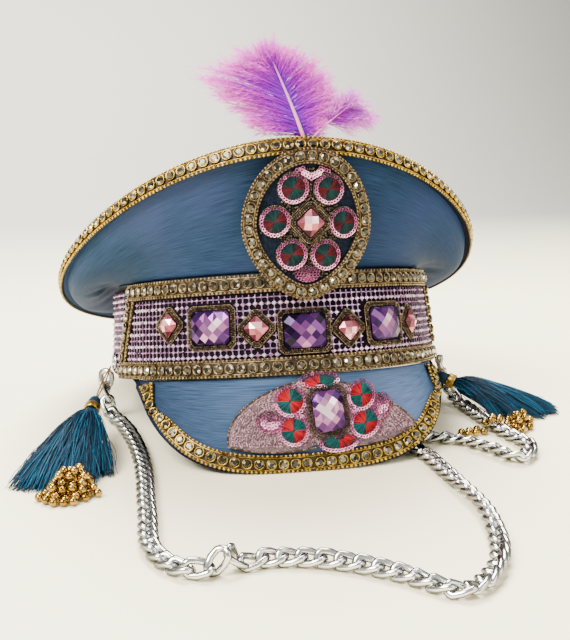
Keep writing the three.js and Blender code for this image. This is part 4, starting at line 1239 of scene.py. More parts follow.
# Painted glints: every crystal face gets a random brightness; on every other row the crystals are smaller and
# darker.
odd_rows = np.rint((levels[clear] - NET["first"]) / NET["row"]).astype(int) % 2
painted_net_glints = rng.normal(0.78, 0.2, len(net_places)) - 0.3 * odd_rows
painted_net_glints = np.clip(painted_net_glints[:, None] + rng.normal(0, 0.2, (len(net_places), len(net_stone.faces))), 0, 1)
net_stones = net_places.copy()
net_stones[:, :3, :3] *= np.where(odd_rows, NET_STONE["small"], 1.0)[:, None, None]
sparkling = facet_mesh(net_stone, net_stones, painted_net_glints)
piece("net_crystals", sparkling, pink_crystal, smooth=False)
piece("net_wires", copies(cross, net_places), net_metal, smooth=False)


# %% Cloth behind the net
def dress(look, *names):
    """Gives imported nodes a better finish."""
    for name in names:
        nodes[name].data.materials.clear()
        nodes[name].data.materials.append(look)


def cloth_finish(name, dark, light, scale, depth, **sockets):
    """Matt cloth with a fine grain that needs no UV map."""
    made, tree, shader = finish(name, **sockets)
    cloth = use(tree, plain, Scale=scale, Dark=dark, Light=light)
    wire(tree, cloth["Colour"], shader.inputs["Base Color"])
    wire(tree, bump(tree, cloth["Grain"], 0.6, depth), shader.inputs["Normal"])
    return made


buckram = cloth_finish("buckram_cloth", srgb(24, 26, 38), srgb(48, 52, 68), 900.0, 0.4, roughness=0.9)
backing = cloth_finish(
    "net_backing", srgb(4, 2, 5), srgb(18, 8, 18), 700.0, 0.4, roughness=0.9, specular_ior_level=0.1)
dress(buckram, "band")
dress(backing, "band_mesh")

# %% [markdown]
# ## Cut stones
# The big stones are checker cut: a low dome of lozenge facets. A bevelled box would look like plastic, so
# a square grid turned by an eighth is cut to the outline with planes, raised to a dome, and its rim is
# drawn down to the flat back. Each facet stores a painted highlight, high by the middle and low at the
# rim, and a ramp turns that into the painted reflections of a foiled stone without slow glass.


# %% Stones
def cut_stone(cut):
    made = bmesh.new()
    half_w, half_h, facet = cut["width"] / 2, cut["height"] / 2, cut["facet"]
    count = 2 * math.ceil(math.hypot(half_w, half_h) / facet)
    bmesh.ops.create_grid(made, x_segments=count, y_segments=count, size=count * facet / 2)
    bmesh.ops.rotate(made, verts=made.verts, cent=(0, 0, 0), matrix=Matrix.Rotation(math.pi / 4, 3, "Z"))
    corner = (half_w + half_h - cut["cut"]) / math.sqrt(2)
    sides = [(0, half_w), (90, half_h), (180, half_w), (270, half_h)]
    for degrees, away in sides + [(45 + 90 * k, corner) for k in range(4)]:
        facing = Vector((math.cos(math.radians(degrees)), math.sin(math.radians(degrees)), 0))
        geometry = made.verts[:] + made.edges[:] + made.faces[:]
        bmesh.ops.bisect_plane(
            made, geom=geometry, dist=1e-4, plane_co=facing * away, plane_no=facing, clear_outer=True)
    for vert in made.verts:
        spread = min(1.0, (abs(vert.co.x) / half_w) ** 2.6 + (abs(vert.co.y) / half_h) ** 2.6)
        vert.co.z = cut["thick"] * (0.42 + 0.58 * (1 - spread) ** 0.8)
    rim = [edge for edge in made.edges if edge.is_boundary]
    skirt = bmesh.ops.extrude_edge_only(made, edges=rim)["geom"]
    for vert in (item for item in skirt if isinstance(item, bmesh.types.BMVert)):
        vert.co = (vert.co.x * 0.96, vert.co.y * 0.96, 0)
    bmesh.ops.holes_fill(made, edges=[edge for edge in made.edges if edge.is_boundary], sides=0)
    bmesh.ops.recalc_face_normals(made, faces=made.faces)
    return made


def seat(surface, across, up, turn):
    """Flat seat that touches a surface at one point."""
    return on_surface(surface, np.array([across]), np.array([up]), GAP, np.array([turn]))


def painted_facet_light(template, cut, seed, level):
    """Painted light of every facet: a highlight near a spot by the middle, darker towards the rim."""
    rng = np.random.default_rng(seed)
    middles = np.array([face.calc_center_median()[:2] for face in template.faces])
    middles /= (cut["width"] / 2, cut["height"] / 2)
    away = np.linalg.norm(middles - rng.uniform(-0.3, 0.3, 2), axis=1)
    return np.clip(level - 0.72 * away + rng.normal(0, 0.18, len(away)), 0, 1)


# %% Stone finishes and places
GEM = {"metallic": 0.6, "roughness": 0.14, "specular_ior_level": 0.3}
purple_gem = toned(
    "purple_gem", "facet", (0.0, srgb(12, 4, 22)), (0.3, srgb(54, 24, 78)), (0.55, srgb(112, 62, 122)),
    (0.8, srgb(182, 126, 166)), (0.97, srgb(255, 222, 240)), **GEM)
pink_gem = toned(
    "pink_gem", "facet", (0.0, srgb(46, 16, 24)), (0.35, srgb(126, 58, 72)), (0.65, srgb(204, 122, 136)),
    (0.95, srgb(255, 208, 216)), **GEM)
BADGE_STONE = {"width": 9.8, "height": 9.8, "thick": 4.0, "cut": 0.8, "turn": math.pi / 4, "facet": 3.2}
PEAK_STONE = {"width": 14.5, "height": 19, "thick": 4.4, "cut": 2.5, "turn": 0.09, "facet": 3.1}
PEAK_MOTIF = (7.5, 28.5)
WING = {"low": 0.7, "thick": 1.1, "inner": 1.2, "foot": -16}


def motif(across, up):
    return peak_point((across + PEAK_MOTIF[0]) / PEAK["half_x"], (up + PEAK_MOTIF[1]) / PEAK_SLOPE)


def motif_top(across, up):
    return lifted(motif, across, up, WING["low"] + WING["thick"])


STONES = [("gem_" + name, "border_" + name, arc_face, arc, level, cut)
          for name, (arc, level, cut) in BAND_STONES.items()]
STONES.append(("medallion_gem", "medallion_gem_border", badge_middle, 0.0, 0.0, BADGE_STONE))
STONES.append(("peak_gem", "peak_gem_border", motif_top, 0.0, 0.0, PEAK_STONE))
PAINTED_FACET_LIGHT = {"gem_purple_2": 0.88, "gem_purple_3": 0.98, "peak_gem": 1.12}
for seed, (gem, border, surface, across, up, cut) in enumerate(STONES):
    purple = cut["width"] > 12
    look, slot = (purple_gem, "purple_stone") if purple else (pink_gem, "pink_stone")
    body = cut_stone(cut)
    painted_glints = painted_facet_light(body, cut, seed + 40, PAINTED_FACET_LIGHT.get(gem, 1.04))
    made = facet_mesh(body, seat(surface, across, up, cut["turn"]), painted_glints)
    piece(gem + "_cut", made, look, [gem], smooth=False)

# %% [markdown]
# ## Beaded borders
# Each stone is held by two rows of dark bronze beads and a thin twisted wire outside them. The rows
# follow the stone's outline at a growing distance, with the beads an even pitch apart. Whole balls are
# the simplest shape that catches the light as beads do, and close small ones pass for the wire.

# %% Borders
bronze = polished(
    "bronze_beads_finish", 420.0, 0.2, 0.5, (0.0, srgb(28, 22, 18)), (0.6, srgb(90, 76, 60)),
    (1.0, srgb(172, 150, 114)), label="tone", metallic=0.85)
BORDER_ROWS = [
    {"margin": 0.8, "pitch": 1.15, "radius": 0.55, "height": 0.9, "tones": (0.0, 0.75)},
    {"margin": 1.75, "pitch": 1.1, "radius": 0.52, "height": 0.75, "tones": (0.0, 0.75)},
    {"margin": 2.55, "pitch": 0.7, "radius": 0.32, "height": 0.5, "tones": (0.6, 1.0)},
]


def stone_outline(cut, margin):
    """Corners of a stone's outline, grown by a margin."""
    w, h, c = cut["width"] / 2 + margin, cut["height"] / 2 + margin, cut["cut"] + margin * 0.3
    corners = [
        (w - c, -h), (w, -h + c), (w, h - c), (w - c, h),
        (-w + c, h), (-w, h - c), (-w, -h + c), (-w + c, -h),
    ]
    return np.array(corners + corners[:1])


def even(line, pitch):
    """Points of a flat line at an even pitch, and the way it runs at each."""
    run = run_along(line)
    count = max(3, round(run[-1] / pitch))
    at = (np.arange(count) + 0.5) * run[-1] / count
    across, up = np.interp(at, run, line[:, 0]), np.interp(at, run, line[:, 1])
    ahead = np.interp(at + 0.2, run, line[:, 0]) - across, np.interp(at + 0.2, run, line[:, 1]) - up
    return across, up, np.arctan2(ahead[1], ahead[0])


rng = np.random.default_rng(51)
for gem, border, surface, across, up, cut in STONES:
    base = seat(surface, across, up, cut["turn"])[0]
    rows, tones = [], []
    # On the peak the beads are painted darker, a painted shade against the brighter light there.
    shade = 0.6 if surface is motif_top else 1.0
    for row in BORDER_ROWS:
        x, y, _ = even(stone_outline(cut, row["margin"]), row["pitch"])
        spots = np.tile(np.eye(4), (len(x), 1, 1))
        spots[:, :3, 3] = np.stack([x, y, np.full_like(x, row["height"])], axis=-1)
        spots[:, :3, :3] *= row["radius"]
        rows.append(base @ spots)
        tones.append(rng.uniform(*row["tones"], len(x)) * shade)
    beads = copies(ball(1.0), np.concatenate(rows), np.concatenate(tones))
    piece(border + "_beads", beads, bronze, [border])

# %% [markdown]
# ## Embroidered florets and petals
# Each floret has four fans of silk thread, green and red in turn, inside a ring of pink cup sequins.
# A painted disc would look flat close by, so every thread is a thin tube that runs from the middle
# outwards and stands a little proud, and a sequin is a small spun cup with a hole, laid like a shingle
# over the next. On the badge, cords of tiny bronze beads ring the florets and seed beads lie between.

# %% Thread fans
FLORETS = {
    "floret_1": (-8.2, 15.2), "floret_2": (8.2, 15.2), "floret_3": (-15.9, 0.3),
    "floret_4": (15.9, 0.3), "floret_5": (-7.8, -14.6), "floret_6": (7.8, -14.6),
}
FLORET_RADIUS = 6.7
PAD_SHARE = 0.97
PETALS = {
    "peak_petal_1": (-3, 14.6, 7.5, 2), "peak_petal_2": (-16.4, 5.6, 5.2, 5.6),
    "peak_petal_3": (15.8, 5.8, 5, 5.6), "peak_petal_4": (-15.8, -8, 5.2, 5.6),
    "peak_petal_5": (17.2, -7.4, 5.6, 5.6), "peak_petal_6": (4.6, -15.4, 7.4, 2.4),
}
FAN = {"points": 5, "radius": 0.27, "per_degree": 0.27}
BADGE_FANS = [(122, 48, 0), (200, 28, 1), (302, 48, 0), (28, 32, 1)]
PEAK_FANS = [(135, 42, 1), (45, 42, 0), (224, 42, 0), (315, 42, 1)]


def fans(surface, middle, size, sectors, start, rng):
    """Fans of threads about a middle, green ones with tones below 0.3 and red ones above 0.7."""
    lines, tones = [], []
    share = np.linspace(start, 1, FAN["points"])
    lift = GAP + 0.35 + 0.75 * np.sin(math.pi * (0.1 + 0.8 * share))
    for centre, half, red in sectors:
        count = round(half * FAN["per_degree"])
        spread = np.radians(centre + np.linspace(-half, half, count))
        a = middle[0] + np.cos(spread)[:, None] * share * size[0]
        b = middle[1] + np.sin(spread)[:, None] * share * size[1]
        lines.append(on_hat(lifted(surface, a, b, lift)))
        tones.append(0.7 * red + rng.uniform(0, 0.3, count))
    return np.concatenate(lines), np.concatenate(tones)


def silk_finish(name, *tones):
    """Silk from four colours: dark green, light green, light red and dark red."""
    return toned(name, "tone", *zip((0.0, 0.3, 0.7, 1.0), tones), roughness=0.55, specular_ior_level=0.15)


def pads(surface, across, up, wide, tall):
    """Low cushion of cloth under the threads, on the same seat."""
    made = spun([(0.0, 0.75), (0.6, 0.7), (0.95, 0.4), (1.0, 0.0), (0.0, 0.0)], 20)
    for vert in made.verts:
        height = GAP + vert.co.z
        vert.co = Vector(on_hat(lifted(surface, across + vert.co.x * wide, up + vert.co.y * tall, height)))
    return made


# %% Florets and petals
badge_silk = silk_finish("badge_silk", srgb(0, 18, 22), srgb(4, 48, 48), srgb(84, 10, 22), srgb(34, 4, 12))
peak_silk = silk_finish("peak_silk", srgb(0, 42, 46), srgb(4, 86, 84), srgb(176, 18, 34), srgb(100, 6, 18))
pad_cloth = cloth_finish("pad_cloth", srgb(24, 6, 22), srgb(58, 18, 44), 900.0, 0.3, roughness=0.8)
rng = np.random.default_rng(57)
for name, (across, up) in FLORETS.items():
    pad = pads(badge_middle, across, up, FLORET_RADIUS * PAD_SHARE, FLORET_RADIUS * PAD_SHARE)
    piece(name + "_pad", pad, pad_cloth, [name])
    reach = FLORET_RADIUS - 1.2
    lines, tones = fans(badge_middle, (across, up), (reach, reach), BADGE_FANS, 0.1, rng)
    piece(name + "_threads", threads(lines, FAN["radius"], 4, tones), badge_silk)
for name, (across, up, wide, tall) in PETALS.items():
    pad = pads(motif_top, across, up, wide * PAD_SHARE, tall * PAD_SHARE)
    piece(name + "_pad", pad, pad_cloth, [name])
    middle, size, sectors, start = (across, up), (wide + 0.4, tall + 0.4), PEAK_FANS, 0.1
    if tall < 3:
        above = up > 0
        middle, size, start = (across, up - 3 if above else up + 3), (wide, tall + 3.2), 0.3
        sectors = PEAK_FANS[:2] if above else PEAK_FANS[2:]
    lines, tones = fans(motif_top, middle, size, sectors, start, rng)
    piece(name + "_threads", threads(lines, FAN["radius"], 4, tones), peak_silk)

# %% Sequins
SEQUIN_PROFILE = [
    (0.52, 0.0), (0.78, 0.02), (1.0, 0.2), (0.96, 0.42), (0.75, 0.34), (0.52, 0.2), (0.52, 0.0),
]
sequin = spun(SEQUIN_PROFILE, 8)
sequin_look = toned(
    "sequin_pink", "tone", (0.0, srgb(64, 14, 46)), (0.45, srgb(150, 58, 112)), (0.8, srgb(226, 130, 184)),
    (1.0, srgb(255, 186, 224)), metallic=0.5, roughness=0.22, coat_weight=0.4)


def ring_line(across, up, wide, tall, count=64):
    turn = np.linspace(0, TURN, count + 1)
    return np.stack([across + wide * np.cos(turn), up + tall * np.sin(turn)], axis=-1)


def sequin_row(surface, line, height, pitch, size, shade=1.0):
    """Places and tones of sequins along a line, with painted light: brighter where it runs to the right."""
    across, up, way = even(line, pitch)
    sizes = np.full(len(across), size)
    places = on_surface(surface, across, up, height, way - math.pi / 2, math.radians(14), sizes)
    return places, np.clip((0.5 + 0.42 * np.cos(way) + rng.normal(0, 0.14, len(way))) * shade, 0, 1)


# %% Sequin rows
CREST = [
    ([(-5.4, 23.5), (-0.3, 21.0), (4.8, 23.5)], 1.2), ([(-4.7, 22.2), (-0.3, 19.7), (4.1, 22.2)], 1.2),
    ([(-7.6, 22.9), (-3.5, 24.5)], 0.4), ([(3.2, 24.6), (8.3, 22.9)], 0.4),
]
LEAVES = [
    ((-25.6, -3.6), (5.6, 4.4)), ((25.6, -0.6), (4.6, 5.4)),
    ((-12.6, -1.2), (2.6, 1.2)), ((12.6, -0.8), (2.6, 1.2)),
]
rng = np.random.default_rng(61)
sequin_sets = {"badge_sequins": [], "crest_sequins": [], "foot_sequins": [], "peak_sequins": []}
for across, up in FLORETS.values():
    ring = ring_line(across, up, FLORET_RADIUS - 0.6, FLORET_RADIUS - 0.6)
    sequin_sets["badge_sequins"].append(sequin_row(badge_middle, ring, GAP + 0.75, 1.5, 0.92))
for line, shade in CREST:
    sequin_sets["crest_sequins"].append(sequin_row(badge_middle, np.array(line), GAP + 0.5, 1.45, 1.0, shade))
for radius in (0.7, 2.2, 3.7, 5.0):
    ring = ring_line(-0.6, -23.2, radius, radius * 0.6)
    row = sequin_row(badge_middle, ring, GAP + 1.2 - radius * 0.15, 1.5, 1.0, 0.34)
    sequin_sets["foot_sequins"].append(row)
for across, up, wide, tall in PETALS.values():
    ring = ring_line(across, up, wide + 1.1, tall + 1.1)
    sequin_sets["peak_sequins"].append(sequin_row(motif_top, ring, GAP + 0.6, 1.5, 0.92))
for (across, up), (wide, tall) in LEAVES:
    for share, shade in ((0.25, 1.2), (0.62, 1.1), (1.0, 0.45)):
        ring = ring_line(across, up, wide * share, tall * share)
        sequin_sets["peak_sequins"].append(sequin_row(motif_top, ring, GAP + 0.4, 1.6, 1.0, shade))
stands_for = {"crest_sequins": ["medallion_crest"], "foot_sequins": ["medallion_foot"]}
for name, rows in sequin_sets.items():
    places = np.concatenate([row[0] for row in rows])
    tones = np.concatenate([row[1] for row in rows])
    piece(name, copies(sequin, places, tones), sequin_look, stands_for.get(name, []))
felt = cloth_finish(
    "navy_felt_cloth", srgb(5, 9, 18), srgb(16, 26, 44), 800.0, 0.5, roughness=0.9, specular_ior_level=0.1)
dress(felt, "medallion_base")

# %% Cords and seed beads on the badge
cord_lines = []
for across, up in FLORETS.values():
    cord_lines.append(ring_line(across, up, FLORET_RADIUS + 0.4, FLORET_RADIUS + 0.4))
cord_lines.append(np.array([(0, 11.4), (-11.4, 0), (0, -11.4), (11.4, 0), (0, 11.4)]))
cord_spots = [even(line, 0.8) for line in cord_lines]
cord = np.concatenate([on_surface(badge_middle, across, up, 0.45) for across, up, _ in cord_spots])
SEED_PITCH = 1.15
field = np.meshgrid(np.arange(-22, 22.1, SEED_PITCH), np.arange(-24.5, 24.6, SEED_PITCH))
across, up = [values.ravel() for values in field]
across, up = across + rng.normal(0, 0.2, len(across)), up + rng.normal(0, 0.2, len(up))
bare = (across / 22.5) ** 2 + (up / 25.5) ** 2 < 1
bare &= (np.abs(across) < 13.5) | (np.abs(up) < 6)
for middle in FLORETS.values():
    bare &= np.hypot(across - middle[0], up - middle[1]) > FLORET_RADIUS + 1.0
bare &= np.abs(across) + np.abs(up) > (BADGE_STONE["width"] / 2 + 3.2) * math.sqrt(2)
seeds = on_surface(badge_middle, across[bare], up[bare], 0.4, sizes=np.full(bare.sum(), 1.5))
tones = np.concatenate([rng.uniform(0.4, 0.9, len(cord)), rng.uniform(0.0, 0.7, len(seeds))])
piece("badge_cords", copies(ball(0.38), np.concatenate([cord, seeds]), tones), bronze)

# %% [markdown]
# ## Bullion wings
# The two wings on the peak are filled with snippets of bullion, a springy coil of fine pink metal wire,
# sewn down close together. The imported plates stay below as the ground. A hair system could strew the
# snippets, but a loop with a seeded generator gives the same rods each time, in rows that follow the
# outline with each rod turned by chance. A row of dark gold stitches runs round the edge.

# %% Wings
WINGS = [(-1, 45.2, 31.5, 2.0), (1, 43.8, 30, 1.45)]
SNIPPET = {"length": 1.15, "radius": 0.32, "row": 0.78}
snippet = bmesh.new()
bmesh.ops.create_cone(
    snippet, cap_ends=True, segments=5, radius1=SNIPPET["radius"], radius2=SNIPPET["radius"],
    depth=SNIPPET["length"])
bmesh.ops.rotate(snippet, verts=snippet.verts, cent=(0, 0, 0), matrix=Matrix.Rotation(math.pi / 2, 3, "Y"))
bullion = polished(
    "pink_bullion", 600.0, 0.35, 0.6, (0.0, srgb(100, 72, 82)), (1.0, srgb(188, 150, 160)), label="tone",
    metallic=0.45)
ground = cloth_finish("bullion_ground", srgb(76, 54, 64), srgb(118, 90, 102), 900.0, 0.5, roughness=0.6)
dress(ground, "peak_wing_left", "peak_wing_right")
rng = np.random.default_rng(71)
swing = np.linspace(0, math.pi / 2, 60)
stitches, snippets = [], []
for side, reach, rise, power in WINGS:
    span = reach - WING["inner"]
    round_off = 2 / power
    arch = np.stack([side * span * np.sin(swing) ** round_off, rise * np.cos(swing) ** round_off], axis=-1)
    corner = np.array((side * WING["inner"], WING["foot"]))
    for inset in np.arange(1.3, rise - 1, SNIPPET["row"]):
        across, up, way = even(corner + arch * (1 - inset / rise), SNIPPET["row"] * 1.25)
        turns = way + rng.normal(0.4, 0.7, len(way))
        across, up = across + rng.normal(0, 0.22, len(way)), up + 0.5 + rng.normal(0, 0.22, len(way))
        snippets.append(on_surface(motif_top, across, up, 0.25, turns))
    hem_share = np.linspace(0, 1, 30)[1:]
    hem = np.stack([side * span * (1 - hem_share), -2 * np.sin(math.pi * hem_share)], axis=-1)
    across, up, way = even(corner + np.concatenate([arch, hem]), 0.8)
    stitches.append(on_surface(motif_top, across, up, 0.2, way))
snippets, stitches = np.concatenate(snippets), np.concatenate(stitches)
piece("wing_snippets", copies(snippet, snippets, rng.random(len(snippets))), bullion)
stitching = copies(ball(0.5), stitches, rng.uniform(0.2, 0.9, len(stitches)))
piece("wing_stitches", stitching, bronze)

# %% [markdown]
# ## Rings and tassels
# A silver ring at each side of the band carries the chain's end and a tassel. The tassel's silk is many
# hundred threads that leave a bound head inside a gold collar, follow the spread of its locks and lie
# down on the table. Hair curves could make them, but plain tubes export as they are. The gold beads at
# their ends are heaped one by one, each on the table, on the silk or on the beads below it.

# %% Rings
RING = {"deg": 82, "level": 8, "radius": 4.2, "wire": 0.9}
for name, side in (("chain_ring_left", -1), ("chain_ring_right", 1)):
    angle = np.array([side * math.radians(RING["deg"])])
    spot = on_surface(band_face, angle, np.array([float(RING["level"])]), RING["wire"] + GAP)
    ring = copies(hoop(RING["radius"], RING["wire"], 28, 8), spot)
    piece(name + "_hoop", ring, silver, [name])

# %% Tassel silk
TASSELS = {
    "tassel_left": {
        "hang": (-89.5, -15.6, 30), "head": (-99, -47, 20),
        "tips": [(-132, -106, 5), (-123, -110, 8), (-114, -110, 9), (-105, -105, 8), (-98, -98, 5)],
    },
    "tassel_right": {
        "hang": (89.3, -15.4, 32), "head": (91.5, -25, 17),
        "tips": [(147, -46, 4), (138, -52, 6), (128, -54, 7), (117, -50, 6)],
    },
}
LOCK = {"threads": 230, "points": 14, "wide": 6.4, "high": 2.2, "swell": 3.6, "radius": 0.18, "loose": 0.06}


def eased(share, low, high):
    """Smooth step from 0 at low to 1 at high."""
    share = np.clip((share - low) / (high - low), 0, 1)
    return share * share * (3 - 2 * share)


def bezier(points, share):
    """Curve of any degree through control points, for an array of shares."""
    points = [np.asarray(point, float) for point in points]
    share = np.asarray(share)[..., None]
    while len(points) > 1:
        points = [a * (1 - share) + b * share for a, b in zip(points, points[1:])]
    return points[0]


def silk_lines(tassel, rng):
    neck = np.array(tassel["head"], float)
    ends = [np.array((x, y, LOCK["high"])) for x, y, _ in tassel["tips"]]
    along = unit(np.mean(ends, axis=0) - neck)
    throat = neck + along * 11
    share = np.linspace(0, 1, LOCK["points"])
    lines = []
    for end, (_, _, bow) in zip(ends, tassel["tips"]):
        rise = (throat + end) / 2 + (0, 0, bow)
        for _ in range(LOCK["threads"]):
            reach = rng.normal(1.0, 0.035)
            middle = bezier((neck + along, throat, rise, end), share * min(reach, 1.06))
            heading = unit(np.gradient(middle, axis=0))
            level = unit(np.cross((0, 0, 1), heading))
            upright = np.cross(heading, level)
            angle, radius = rng.random() * TURN, rng.random() ** 0.4
            swell = LOCK["swell"] * eased(share, 0.16, 0.4) * (1 - share ** 3)
            wide = (1.5 + (LOCK["wide"] - 1.5) * eased(share, 0.16, 0.6)) * radius * math.cos(angle)
            high = (1.5 + (LOCK["high"] - 1.5) * share + swell) * radius * math.sin(angle)
            loose = 3.0 if rng.random() < LOCK["loose"] else 1.0
            stray = loose * rng.normal(0, 1.2) * np.sin(share * rng.uniform(4, 12)) * share
            high = high + loose * rng.normal(0, 0.35) * np.sin(share * rng.uniform(4, 9)) * share
            line = middle + level * (wide + stray)[:, None] + upright * high[:, None]
            line[:, 2] = np.maximum(line[:, 2], 0.3)
            lines.append(line)
    return np.array(lines), neck, along


# %% Tassel pieces
teal = toned(
    "teal_silk_finish", "tone", (0.0, srgb(0, 12, 26)), (0.6, srgb(0, 46, 74)), (1.0, srgb(10, 104, 138)),
    roughness=0.5, specular_ior_level=0.3)
brown = toned("hang_thread", "reach", (0.0, srgb(96, 66, 30)), (1.0, srgb(140, 100, 48)), roughness=0.5)
COLLAR = [(3.3, -2.2), (3.7, -2.2), (4.1, -1.6), (3.9, 0.0), (4.1, 1.6), (3.7, 2.2), (3.3, 2.2), (3.3, -2.2)]
collar = spun(COLLAR, 24)
cap = spun([(0.0, -3.2), (1.6, -3.0), (2.8, -2.0), (3.2, 0.0), (3.2, 5.0), (0.0, 5.0)], 20)


def aimed(point, heading):
    """Place on the table whose z axis follows a heading."""
    side = unit(np.cross((0, 0, 1), heading))
    return framed(point[None], side[None], np.cross(heading, side)[None], heading[None], hat=False)


rng = np.random.default_rng(81)
silk = {}
for name, tassel in TASSELS.items():
    lines, neck, along = silk_lines(tassel, rng)
    silk[name] = lines.reshape(-1, 3)
    tones = np.clip(rng.normal(0.5, 0.28, len(lines)), 0, 1)
    piece(name + "_silk", threads(on_table(lines), LOCK["radius"], 3, tones), teal, [name])
    piece(name + "_head", copies(cap, aimed(neck, along), np.array([0.45])), teal)
    binding = copies(collar, aimed(neck + along * 5.6, along))
    piece(name + "_collar_ring", binding, gold, [name + "_collar"])
    hang = np.array(tassel["hang"], float)
    share = np.linspace(0, 1, 9)[:, None]
    bow = np.array((0.8, 0, 0)) * np.sin(math.pi * share)
    pair = np.array([hang * (1 - share) + neck * share + side * bow for side in (-1, 1)])
    piece(name + "_hang", threads(on_table(pair), 0.4, 5), brown)

# %% Gold beads
BEAD = {"radius": 2.0, "pitch": 4.2}
HEAPS = {
    "tassel_left": [
        (-131, -119, -106), (-126, -125, -99), (-121, -125, -99), (-116, -120, -101), (-106, -110, -104),
    ],
    "tassel_right": [(-80, 111, 118), (-74, 110.5, 124), (-68, 112, 130), (-60, 116, 131)],
}
BEAD_PROFILE = [
    (0.45, 1.93), (1.1, 1.67), (1.65, 1.13), (1.96, 0.4), (1.96, -0.4), (1.65, -1.13), (1.1, -1.67),
    (0.45, -1.93), (0.45, 1.93),
]
bead = spun(BEAD_PROFILE, 12)
bead_gold = polished(
    "bead_gold", 180.0, 0.1, 0.28, (0.0, srgb(112, 84, 30)), (1.0, srgb(200, 164, 84)), label="tone")


def heap(rows, ground, rng):
    """Bead middles, in layers that rest on the silk, on the table and on the layer below."""
    rows = np.array(rows, float)
    settled_beads = np.zeros((0, 3))
    for layer in range(3):
        shrink = 4.4 * layer
        for y in np.arange(rows[0, 0] + shrink, rows[-1, 0] - shrink / 2, BEAD["pitch"] * 0.87):
            low = np.interp(y, rows[:, 0], rows[:, 1]) + shrink
            high = np.interp(y, rows[:, 0], rows[:, 2]) - shrink
            for x in np.arange(low + rng.uniform(0, 2), high, BEAD["pitch"]):
                spot = np.array((x, y + rng.normal(0, 0.25), BEAD["radius"]))
                below = ground[np.hypot(*(ground[:, :2] - spot[:2]).T) < 1.6]
                if len(below):
                    spot[2] = max(spot[2], np.percentile(below[:, 2], 80) + 1.6)
                away = np.hypot(*(settled_beads[:, :2] - spot[:2]).T)
                near = away < 2 * BEAD["radius"]
                if near.any():
                    step = np.sqrt(4 * BEAD["radius"] ** 2 - away[near] ** 2)
                    spot[2] = max(spot[2], (settled_beads[near, 2] + step).max() - 0.3)
                settled_beads = np.concatenate([settled_beads, spot[None]])
    return settled_beads


def bead_line(start, stop, count, rng):
    """Double row of loose beads that climbs over the chain where it crosses it."""
    share = np.linspace(0, 1, count)
    spots = np.array(start) * (1 - share[:, None]) + np.array(stop) * share[:, None]
    spots[:, 1] += np.where(np.arange(count) % 2, 2.1, -2.1) + rng.normal(0, 0.3, count)
    from_chain = np.linalg.norm(spots[:, None] - chain_line[None, :, :2], axis=-1).min(axis=1)
    level = BEAD["radius"] + 5.2 * np.clip((7.5 - from_chain) / 4, 0, 1)
    return np.column_stack([spots, level])


# %% Heap the beads
rng = np.random.default_rng(91)
for name, rows in HEAPS.items():
    centres = heap(rows, silk[name], rng)
    if name == "tassel_right":
        centres = np.concatenate([centres, bead_line((83.5, -77.5), (109, -69.5), 12, rng)])
    axes = unit(rng.normal(0, 1, (len(centres), 3)))
    side = unit(np.cross(axes, (0.3, 0.5, 0.8)))
    places = framed(centres, side, np.cross(axes, side), axes, hat=False)
    made = copies(bead, places, rng.random(len(centres)))
    piece(name + "_bead_heap", made, bead_gold, [name + "_beads"])
    print(len(centres), "beads, up to", round(centres[:, 2].max() + BEAD["radius"], 1), "mm high")

# %% [markdown]
# ## Feathers
# A soft dyed feather stands behind the badge, with a small side plume next to it. The shaft is a tapered
# tube. A flat sheet with a cut-out picture would be quick, but its edge would look hard. So barbs leave
# the shaft on both sides and end on the plume's outline, each carries fine down, and the colour goes
# from a purple heart to pale pink tips.

# %% Outlines and barbs of the plumes
PLUMES = {
    "feather_large": {
        "depth": -83.2, "shaft": [(0.5, 152.6), (-5, 168), (-14, 187)], "shaft_radius": 1.0, "barbs": 900,
        "left": [
            (0.02, -22, 156), (0.1, -27, 160), (0.2, -33, 166), (0.35, -42, 174), (0.5, -50, 182),
            (0.72, -35, 189), (1.0, -16, 194.5),
        ],
        "right": [(0.02, 8, 155), (0.22, 15, 166), (0.46, 15, 178), (0.72, 4, 189), (1.0, -16, 194.5)],
    },
    "feather_small": {
        "depth": -85.2, "shaft": [(4.6, 153.3), (11, 160), (21, 167)], "shaft_radius": 0.6, "barbs": 220,
        "left": [(0.5, 11, 166), (0.6, 15, 170), (1.0, 26, 171.5)],
        "right": [(0.45, 24, 156.5), (0.85, 36, 161), (1.0, 26, 171.5)],
    },
}


def barb_lines(plume, rng, points=8):
    """Barbs from the shaft to the plume's outline, and the share of the shaft where each starts."""
    shaft = [(x, plume["depth"], z) for x, z in plume["shaft"]]
    lines, starts = [], []
    for index in range(plume["barbs"]):
        edge = np.array(plume["left"] if index % 2 else plume["right"], float)
        at = rng.uniform(edge[0, 0], 1.0)
        reach = rng.uniform(0.72, 1.04)
        tip = np.array((np.interp(at, edge[:, 0], edge[:, 1]), 0, np.interp(at, edge[:, 0], edge[:, 2])))
        root = bezier(shaft, np.array(at * 0.94))
        tip = root + (tip + (0, plume["depth"] + rng.normal(-0.8, 3.2), 0) - root) * reach
        tip += rng.normal(0, 1.5, 3) * (1, 0.4, 1)
        onward = unit(bezier(shaft, np.array(min(at + 0.05, 1.0))) - bezier(shaft, np.array(at - 0.05)))
        bend = (root + tip) / 2 + onward * np.linalg.norm(tip - root) * rng.uniform(0.02, 0.2)
        lines.append(bezier((root, bend, tip), np.linspace(0, 1, points)))
        starts.append(at)
    return np.array(lines), np.array(starts)


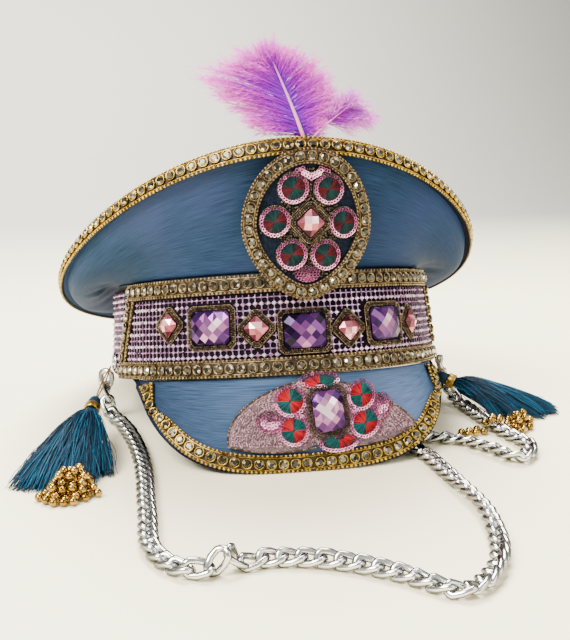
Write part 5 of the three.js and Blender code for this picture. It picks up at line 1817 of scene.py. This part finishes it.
def down(lines, rng, each):
    """Short fine hairs along the outer half of every barb."""
    count, length, _ = lines.shape
    owner = np.repeat(np.arange(count), each)
    spot = rng.integers(2, length - 1, len(owner))
    root, onward = lines[owner, spot], unit(lines[owner, spot + 1] - lines[owner, spot])
    aside = unit(rng.normal(0, 1, (len(owner), 3)) * (1, 0.5, 1))
    tip = root + (onward * 0.8 + aside * 0.6) * rng.uniform(2.0, 5.0, len(owner))[:, None]
    middle = (root + tip) / 2 + onward * 0.4
    return np.stack([root, middle, tip], axis=1), spot / (length - 1)


def plume_finish(name, *tones):
    """Dyed down from four colours: the foot, the heart, the outer part and the tips."""
    return toned(name, "tone", *zip((0.0, 0.18, 0.55, 1.0), tones), roughness=0.9, specular_ior_level=0.1)


# %% Plumes from barbs and down
purple_plume = plume_finish(
    "purple_plume_finish", srgb(224, 20, 150), srgb(104, 4, 186), srgb(184, 24, 214), srgb(255, 116, 230))
pink_plume = plume_finish(
    "pink_plume_finish", srgb(230, 30, 150), srgb(168, 34, 190), srgb(186, 60, 212), srgb(246, 150, 236))
shaft_look = toned(
    "shaft_finish", "reach", (0.0, srgb(236, 160, 190)), (1.0, srgb(180, 100, 204)), roughness=0.4)
rng = np.random.default_rng(101)
for name, plume in PLUMES.items():
    large = name == "feather_large"
    look, slot = (purple_plume, "purple_plume") if large else (pink_plume, "pink_plume")
    lines, starts = barb_lines(plume, rng)
    share = np.linspace(0, 1, lines.shape[1])
    foot = 0.2 * np.exp(-(starts / 0.12) ** 2)[:, None]
    tone = 0.18 + share[None, :] * 0.8 - foot + rng.normal(0, 0.06, (len(lines), 1))
    barbs = threads(on_table(lines), 0.24 - 0.19 * share[None, :], 3)
    stored(barbs, "tone", np.repeat(np.clip(tone, 0, 1).reshape(-1), 3))
    piece(name + "_barbs", barbs, look, [name])
    hairs, along = down(lines, rng, 15)
    fluff = threads(on_table(hairs), np.array([[0.1, 0.07, 0.04]]), 3)
    hair_tone = 0.3 + 0.75 * along + rng.normal(0, 0.1, len(along))
    stored(fluff, "tone", np.repeat(np.clip(hair_tone, 0, 1), 9))
    piece(name + "_down", fluff, look)
    shaft = bezier([(x, plume["depth"] - 1.2, z) for x, z in plume["shaft"]], np.linspace(0, 1, 16))
    taper = plume["shaft_radius"] * np.linspace(1, 0.4, 16)[None, :]
    piece(name + "_shaft", threads(on_table(shaft[None]), taper, 8), shaft_look)
